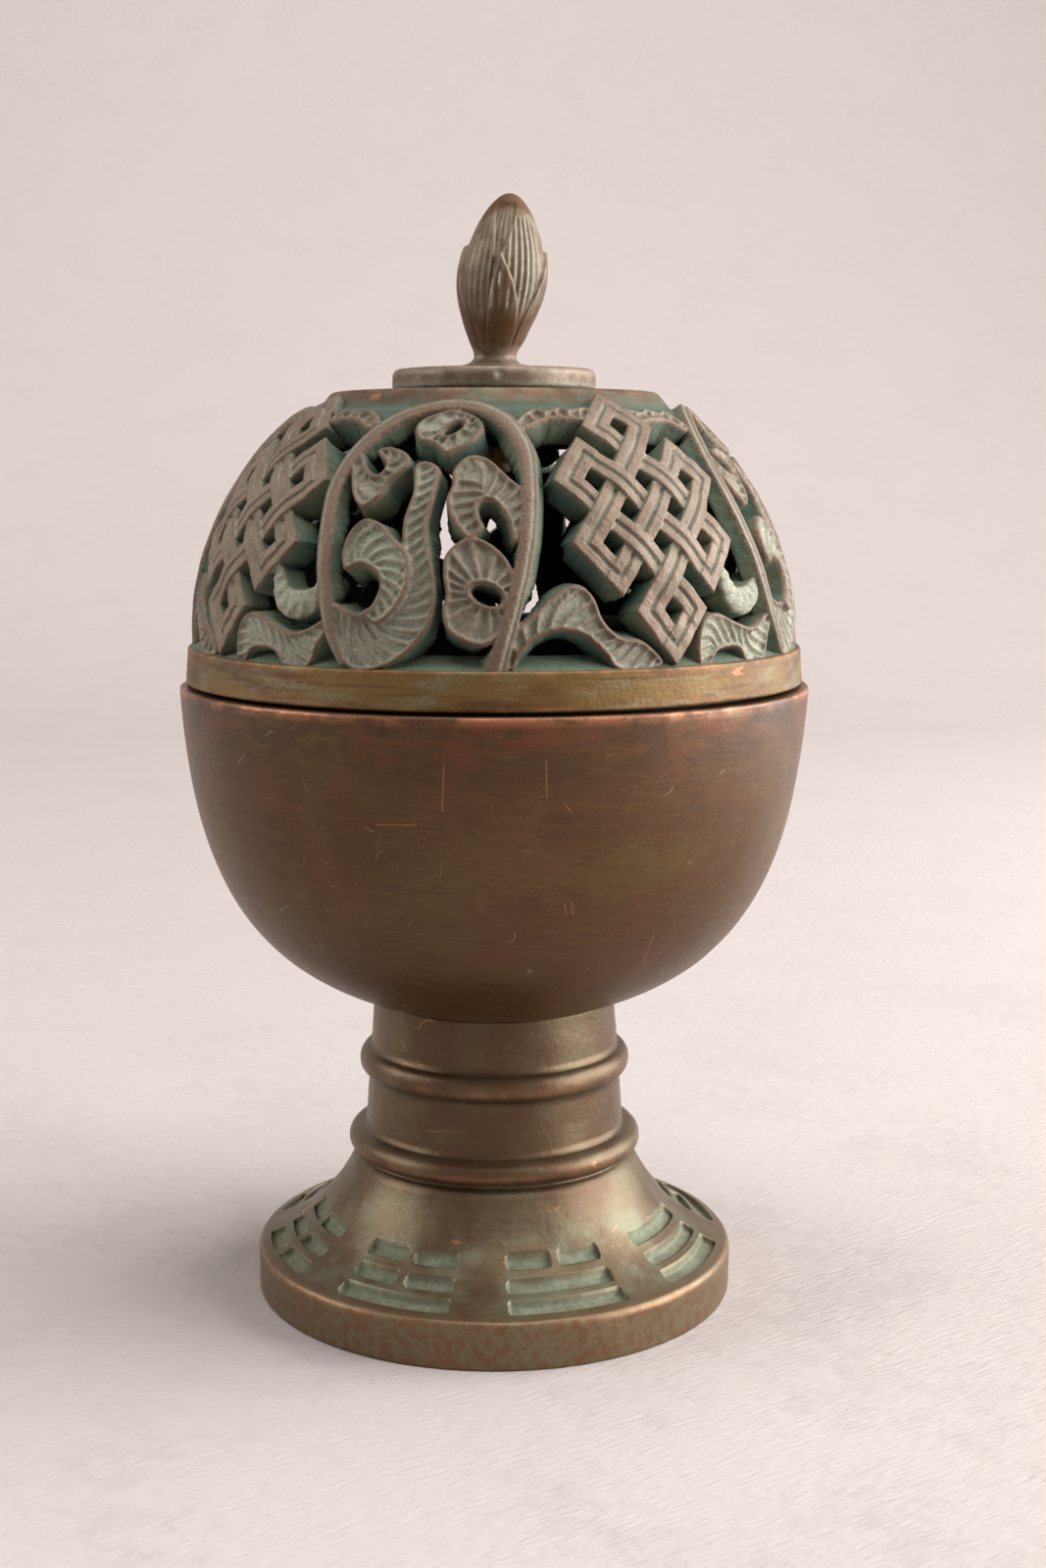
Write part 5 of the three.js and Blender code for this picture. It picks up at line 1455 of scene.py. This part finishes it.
class BURNER_OT_lid_rings(bpy.types.Operator):
    """Band with its spigot, and the crown with its collar"""

    bl_idname = "burner.lid_rings"
    bl_label = "Lid band and crown"

    def execute(self, context):
        size = in_millimetres(context.scene.burner_sizes)
        material = band_finish(context.scene.burner_colours)
        dress([self.band(size), self.crown(size)], material)
        return {"FINISHED"}

    def band(self, size):
        """Ring over the rim of the bowl, with the spigot that centres it and a sill behind the ornament."""
        foot = node_top("bowl") + LID_GAP
        top = foot + size.band_height
        spigot = size.bowl_radius - size.bowl_wall - SPIGOT_GAP
        inside = spigot - 2.8
        profile = eased(
            [
                (inside, foot - size.spigot_depth, 0.3),
                (spigot, foot - size.spigot_depth, 0.4),
                (spigot, foot, 0.15),
                (size.band_radius, foot, 0.4),
                (size.band_radius - 0.28, top, 0.34),
                (size.band_radius - 0.9, top, 0.15),
                (spigot - 1.0, top + SILL_RISE, 0.3),
                (inside, top + SILL_RISE - 0.3, 0.3),
            ]
        )
        profile = spread(profile, 0.5)
        points = turned(profile, around(TURN_STEPS))
        radius, height = profile[:, 0], profile[:, 1]
        face = (radius > size.band_radius - 0.85) & (height > foot - 0.05)
        dents = uneven(points, 12, 21) * 0.04 + uneven(points, 2.6, 22) * 0.018
        points = pushed(points, radius, dents * face[:, None])
        sill = smooth(size.band_radius - 0.6, size.band_radius - 1.1, radius)
        attributes = {
            "edge": face * (bell(height, top - 0.15, 0.3) + 0.8 * bell(height, foot + 0.2, 0.3)),
            "hollow": sill * (height > top - 0.6),
            "inside": (radius < spigot + 0.3) & (height < top),
        }
        return turned_piece("lid_band", points, attributes, "lid", ["lid_dome"])

    def crown(self, size):
        """Plain top of the dome, with its collar and the hole for the stud."""
        centre, top = dome_centre(size), node_top("lid_dome")
        ground = size.dome_radius - size.crown_sunk
        inside, under = ground - WALL_DEPTH, top - 3.5
        low, high = CROWN_EDGE / DRAWN_RADIUS, COLLAR_FOOT / DRAWN_RADIUS

        def at(radius, rise):
            """Radius and height of a place on a ball round the dome's centre, at an angle up from its
            equator."""
            return radius * np.cos(rise), centre + radius * np.sin(rise)

        outer = np.column_stack(at(ground, np.linspace(low, high, 9)[2:-1]))
        end_of_ground, foot = at(ground, high)
        collar = end_of_ground - 1.4
        ceiling = at(inside, np.arcsin((under - centre) / inside))
        edge = eased([(*ceiling, 0), (*at(inside, low), 0.4), (*at(ground, low), 0.5), (*outer[0], 0)])
        rest = eased(
            [
                (*outer[-1], 0),
                (collar + 0.5, foot + 0.1, 0.5),
                (collar - 1.2, top, 0.5),
                (STUD_BORE, top, 0.1),
                (STUD_BORE, under, 0.1),
                (*ceiling, 0.6),
                (*at(inside, low), 0),
            ]
        )
        profile = spread(np.vstack([edge[1:-1], outer, rest[1:-1]]), 0.6)
        points = turned(profile, around(TURN_STEPS))
        radius, height = profile[:, 0], profile[:, 1]
        points = pushed(points, radius, uneven(points, 5, 23) * 0.05 * (radius > 13)[:, None])
        behind = (np.hypot(radius, height - centre) < ground - 1.2) & (radius < at(ground, low)[0] - 0.5)
        attributes = {
            "edge": bell(height, top - 0.15, 0.35) * bell(radius, collar - 1.2, 0.6),
            "hollow": smooth(collar - 0.2, collar + 0.4, radius) * (1 - behind),
            "inside": behind & (height < top - 1.5),
        }
        return turned_piece("lid_crown", points, attributes, "lid", ["lid_dome"])


# Knob

STUD_RADIUS = 2.0  # of the stud under the bud
BUD_GAP = 0.3  # under the flared foot of the bud, a dark line
NECK_HEIGHT = 1.4  # of the thinnest part of the stalk over its foot
BELLY_HEIGHT = 9.8  # of the widest part of the bud over its foot
BUD_LEAN = np.tan(np.radians(5.2))  # sideways for each unit of height, towards +X
FLUTES = 36  # round the bud
# Outer sepals: azimuth of the tip, widths to its left and right in degrees, and height of the tip above
# the bud's foot
SEPALS = [(-5, 14, 40, 12.8), (84, 44, 50, 13.2), (174, 40, 40, 12.8), (-92, 50, 44, 14.0)]
SEPAL_FOOT = 2.6  # height where the sepals begin
NICK_TURN = 2.8  # degrees, azimuth of the nick in the side of the disc
# Slots carved in the front sepal: azimuth, and heights of its ends
SEPAL_SLOTS = [(-12.5, 6.2, 12.0), (-2, 8.6, 11.0), (11.5, 6.2, 9.0)]


def bud_relief(azimuths, rise, radius):
    """Carving of the bud at each azimuth and rise above its foot: two inner petals that part in a
    slanting gap at front and back, flutes that are cosines of the turn, and pointed sepals laid over
    them. Gives height, and how sunk, how edged and how brown it is."""
    turn = (np.degrees(azimuths)[None, :] + 180) % 360 - 180
    rise, radius = rise[:, None], np.maximum(radius, 0.3)[:, None]
    half_turn = (turn + 90) % 180 - 90
    upper = np.clip((rise - 12.5) / 6, 0, 1)
    left_edge, right_edge = -16 - 26 * upper**2, -4 + 28 * upper
    into_gap = np.minimum(half_turn - left_edge, right_edge - half_turn) * np.pi / 180 * radius
    gap = smooth(-0.08, 0.14, into_gap) * smooth(9, 11, rise) * smooth(19.0, 18.0, rise)
    flute = 0.5 + 0.5 * np.cos(np.radians(turn) * FLUTES)
    fluted = smooth(5, 8, rise) * smooth(17.4, 15.8, rise) * (0.2 + 0.8 * bell(half_turn, 27, 26))
    line = flute**1.5 * fluted
    height = -0.22 * line - 0.3 * gap
    sunk = np.maximum(0.85 * line, 0.35 * gap * flute)
    edge = bell(into_gap, -0.2, 0.18) * smooth(9, 11, rise) * smooth(18.5, 17, rise)
    for middle, left, right, tip in SEPALS:
        aside = (turn - middle + 180) % 360 - 180
        share = np.clip((rise - SEPAL_FOOT) / (tip - SEPAL_FOOT), 0, 1)
        reach = np.where(aside < 0, left, right) * (1 - share**1.7)
        past = (np.abs(aside) - reach) * np.pi / 180 * radius + 4 * np.maximum(rise - tip, 0)
        over = smooth(0.1, -0.1, past)
        thick = 0.12 + 0.36 * smooth(0.1, 0.9, share)
        stripes = 0.2 * flute**2 * smooth(0.25, 0.5, share) * smooth(1.0, 0.8, share)
        height = height * (1 - over) + over * (thick - 0.1 * stripes)
        sunk = sunk * (1 - over) + over * stripes
        edge = np.maximum(edge * (1 - over), bell(past, -0.14, 0.16) * smooth(0.15, 0.5, share))
    for middle, low, high in SEPAL_SLOTS:
        slot = bell((turn - middle) * np.pi / 180 * radius, 0, 0.15)
        slot = slot * smooth(low, low + 0.8, rise) * smooth(high, high - 0.8, rise)
        height = height - 0.16 * slot
        sunk = np.maximum(sunk, slot)
    front = smooth(0.1, -0.1, np.abs(turn - 8) * np.pi / 180 * radius - 2.4) * smooth(12.8, 10.5, rise)
    brown = np.maximum(front, smooth(6.5, 4.5, rise) * smooth(1.5, 3, rise)) * (1 - 0.8 * edge)
    return height, np.clip(sunk, 0, 1), np.clip(edge, 0, 1), brown


class BURNER_OT_knob(bpy.types.Operator):
    """Lotus bud on its stud, and the disc under it"""

    bl_idname = "burner.knob"
    bl_label = "Knob"

    def execute(self, context):
        size = in_millimetres(context.scene.burner_sizes)
        material = knob_finish(context.scene.burner_colours)
        dress([self.disc(size), self.bud(size)], material)
        return {"FINISHED"}

    def disc(self, size):
        """Round plate with a nick in the front of its side."""
        base, top = node_base("knob_disc"), node_top("knob_disc")
        profile = eased(
            [
                (STUD_BORE, base, 0.1),
                (size.disc_radius, base, 0.6),
                (size.disc_radius, top, 0.9),
                (STUD_BORE, top, 0.1),
            ]
        )
        profile = spread(profile, 0.3)
        azimuths = around(TURN_STEPS)
        points = turned(profile, azimuths)
        radius, height = profile[:, 0], profile[:, 1]
        side = radius > size.disc_radius - 1
        across = (np.degrees(azimuths) - 360 - NICK_TURN) * np.pi / 180 * size.disc_radius
        nick = bell(across, 0, 0.45) * (bell(height, top - 0.9, 0.4) * side)[:, None]
        dents = uneven(points, 4, 51) * 0.05 * (radius > 9)[:, None] - 0.3 * nick
        points = pushed(points, radius, dents)
        attributes = {
            "edge": bell(height, top - 0.5, 0.4) * side,
            "hollow": 0.8 * bell(height, base + 0.2, 0.35) * side,
            "bare": 0.8 * nick,
        }
        return turned_piece("knob_plate", points, attributes, "lid", ["knob_disc"])

    def bud(self, size):
        """Leaning lotus bud on a flared stalk, with the stud under it."""
        foot, top, end = node_top("knob_disc") + BUD_GAP, node_top("knob_bud"), node_base("knob_bud")
        stalk, neck = size.bud_neck_radius, foot + NECK_HEIGHT
        belly, widest = size.bud_radius, foot + BELLY_HEIGHT
        stud = eased(
            [(0, end, 0), (STUD_RADIUS, end, 0.3), (STUD_RADIUS, foot, 0), (size.bud_foot_radius, foot, 0)]
        )
        flared = bezier(
            (size.bud_foot_radius, foot + 0.2),
            (stalk + 0.2, foot + 0.35),
            (stalk - 0.1, neck - 0.4),
            (stalk, neck),
            10,
        )
        swell = bezier((stalk, neck), (stalk + 0.4, neck + 1.6), (belly, widest - 3.6), (belly, widest), 90)
        close = bezier((belly, widest), (belly, widest + 4.2), (belly * 0.48, top), (0, top), 110)
        profile = np.vstack([stud, flared, swell[1:], close[1:]])
        azimuths = around(360)
        points = turned(profile, azimuths)
        radius, rise = profile[:, 0], profile[:, 1] - foot
        height, sunk, edge, brown = bud_relief(azimuths, rise, radius)
        on_bud = (smooth(1.6, 3.0, rise) * smooth(0, 0.8, radius))[:, None]
        points = pushed(points, radius, (height + 0.03 * uneven(points, 2.5, 61)) * on_bud)
        points[..., 0] += np.maximum(rise, 0)[:, None] * BUD_LEAN
        attributes = {"hollow": sunk * on_bud, "edge": edge * on_bud, "brown": brown * on_bud}
        return turned_piece(
            "lotus_bud", points, attributes, "lid", ["knob_bud"], closed=False
        )


# Stage

CAMERA_PLACE = (0, -0.2488, 0.1002)
CAMERA_TILT = 81.33  # degrees from looking straight down
CAMERA_LENS = 47.51
CAMERA_SHIFT = 0.0184
LAMPS = [
    # name, place in metres, size, watts
    ("left_box", (-0.62, -0.02, 0.36), 0.40, 2.2),
    ("right_box", (0.58, 0.02, 0.18), 0.75, 13.2),
    ("top_box", (0.15, -0.15, 1.30), 1.00, 14.2),
]
LAMP_AIM = (0, 0, 0.06)
# Strength of the surroundings behind the camera and behind the burner
SKY_LIGHT = (0.1, 0.6)
SKY_SEEN = (0.9, 1.5)
FLOOR_GLOW = 0.54  # of the floor a metre away, as seen, so that it fades into the surroundings


class BURNER_OT_stage(bpy.types.Operator):
    """Pale floor that curves up behind, soft lamps and the camera"""

    bl_idname = "burner.stage"
    bl_label = "Stage"

    def execute(self, context):
        colours = context.scene.burner_colours
        self.floor(colours)
        self.lamps()
        self.camera(context.scene)
        self.surroundings(context.scene, colours)
        context.scene.view_settings.view_transform = "Standard"
        return {"FINISHED"}

    def surroundings(self, scene, colours):
        """Pale all round as seen, and dimmer as a lamp; both grow from behind the camera to behind the
        burner."""
        scene.world = bpy.data.worlds.new("studio")
        scene.world.use_nodes = True
        sky = Shading(scene.world.node_tree, "Generated")
        background = sky.tree.nodes["Background"]
        sky.feed(background.inputs["Color"], colours.floor_pale)
        lit = sky.between(sky.axis("Y"), -1, 1, *SKY_LIGHT)
        shown = sky.between(sky.axis("Y"), -1, 1, *SKY_SEEN)
        extra = sky.times(sky.seen(), sky.combine("SUBTRACT", shown, lit))
        sky.feed(background.inputs["Strength"], sky.combine("ADD", lit, extra, clamp=False))

    def floor(self, colours):
        """Strip carried along X, in metres: flat from the front, then a quarter of a circle up to an
        upright wall."""
        bend, back, wide, front, tall = 0.5, 0.55, 2.4, -1.6, 1.8
        angle = np.linspace(0, np.pi / 2, 25)
        depth = np.concatenate([[front], back + bend * np.sin(angle), [back + bend]])
        rise = np.concatenate([[0], bend * (1 - np.cos(angle)), [tall]])
        across = np.linspace(-wide, wide, 3)
        grid = np.stack(np.broadcast_arrays(across, depth[:, None], rise[:, None]), axis=-1)
        ids = np.arange(grid.shape[0] * 3).reshape(-1, 3)
        mesh = bpy.data.meshes.new("floor")
        mesh.from_pydata(grid.reshape(-1, 3), [], halves(ids).tolist())
        mesh.shade_smooth()
        floor = bpy.data.objects.new("floor", mesh)
        bpy.context.scene.collection.objects.link(floor)
        finish = Finish("pale_floor", 0, colours.floor_pale)
        cloud = finish.times(finish.noise(30, 3), finish.noise(4, 6, rough=0.7))
        near = finish.between(finish.axis("Y"), 0.3, -0.12, 0.25, 1.0)
        finish.coat(finish.times(finish.between(cloud, 0.22, 0.36), near), colours.floor_grey)
        fibre = finish.noise(0.6, 4, (4, 1, 1), (0, 0, 30))
        finish.shader.inputs["Specular IOR Level"].default_value = 0.1
        away = finish.vector("LENGTH", finish.place, (0, 0, 0), "Value")
        glow = finish.times(finish.seen(), finish.between(away, 0.05, 1.0, 0, FLOOR_GLOW))
        finish.feed(finish.shader.inputs["Emission Color"], finish.tone)
        finish.feed(finish.shader.inputs["Emission Strength"], glow)
        dress([floor], finish.surface(finish.between(fibre, 0, 1, 0.85, 1.0), [(fibre, 0.3)]))

    def lamps(self):
        """Square soft boxes, each turned towards the burner."""
        for name, place, width, watts in LAMPS:
            lamp = bpy.data.lights.new(name, "AREA")
            lamp.shape = "SQUARE"
            lamp.size = width
            lamp.energy = watts
            holder = bpy.data.objects.new(name, lamp)
            holder.location = place
            aim = np.array(LAMP_AIM) - np.array(place)
            holder.rotation_euler = (
                np.arctan2(np.hypot(aim[0], aim[1]), -aim[2]),
                0,
                np.arctan2(aim[0], -aim[1]) + np.pi,
            )
            bpy.context.scene.collection.objects.link(holder)

    def camera(self, scene):
        """Camera in front of the burner, looking a little down on it."""
        camera = bpy.data.cameras.new("camera")
        camera.lens = CAMERA_LENS
        camera.sensor_width = 36
        camera.shift_x = CAMERA_SHIFT
        camera.clip_start = 0.01
        holder = bpy.data.objects.new("camera", camera)
        holder.location = CAMERA_PLACE
        holder.rotation_euler = (np.radians(CAMERA_TILT), 0, 0)
        scene.collection.objects.link(holder)
        scene.camera = holder


# Add-on

PIECE_OPERATORS = (
    BURNER_OT_pedestal,
    BURNER_OT_bowl,
    BURNER_OT_holder,
    BURNER_OT_lid_rings,
    BURNER_OT_ornament,
    BURNER_OT_knob,
    BURNER_OT_stage,
)


class BURNER_PT_panel(bpy.types.Panel):
    """Lists the pieces of the burner and their settings"""

    bl_idname = "BURNER_PT_panel"
    bl_label = "Incense burner"
    bl_space_type = "VIEW_3D"
    bl_region_type = "UI"
    bl_category = "Burner"

    def draw(self, context):
        for operator in PIECE_OPERATORS:
            self.layout.operator(operator.bl_idname)
        for group in (context.scene.burner_sizes, context.scene.burner_colours):
            for key in group.__annotations__:
                self.layout.prop(group, key)


CLASSES = (BurnerSizes, BurnerColours, *PIECE_OPERATORS, BURNER_PT_panel)


def register():
    for cls in CLASSES:
        bpy.utils.register_class(cls)
    bpy.types.Scene.burner_sizes = bpy.props.PointerProperty(type=BurnerSizes)
    bpy.types.Scene.burner_colours = bpy.props.PointerProperty(type=BurnerColours)


def unregister():
    del bpy.types.Scene.burner_colours
    del bpy.types.Scene.burner_sizes
    for cls in reversed(CLASSES):
        bpy.utils.unregister_class(cls)


def main():
    register()
    bpy.ops.burner.pedestal()
    bpy.ops.burner.bowl()
    bpy.ops.burner.holder()
    bpy.ops.burner.lid_rings()
    bpy.ops.burner.ornament()
    bpy.ops.burner.knob()
    bpy.ops.burner.stage()


if __name__ == "__main__":
    main()
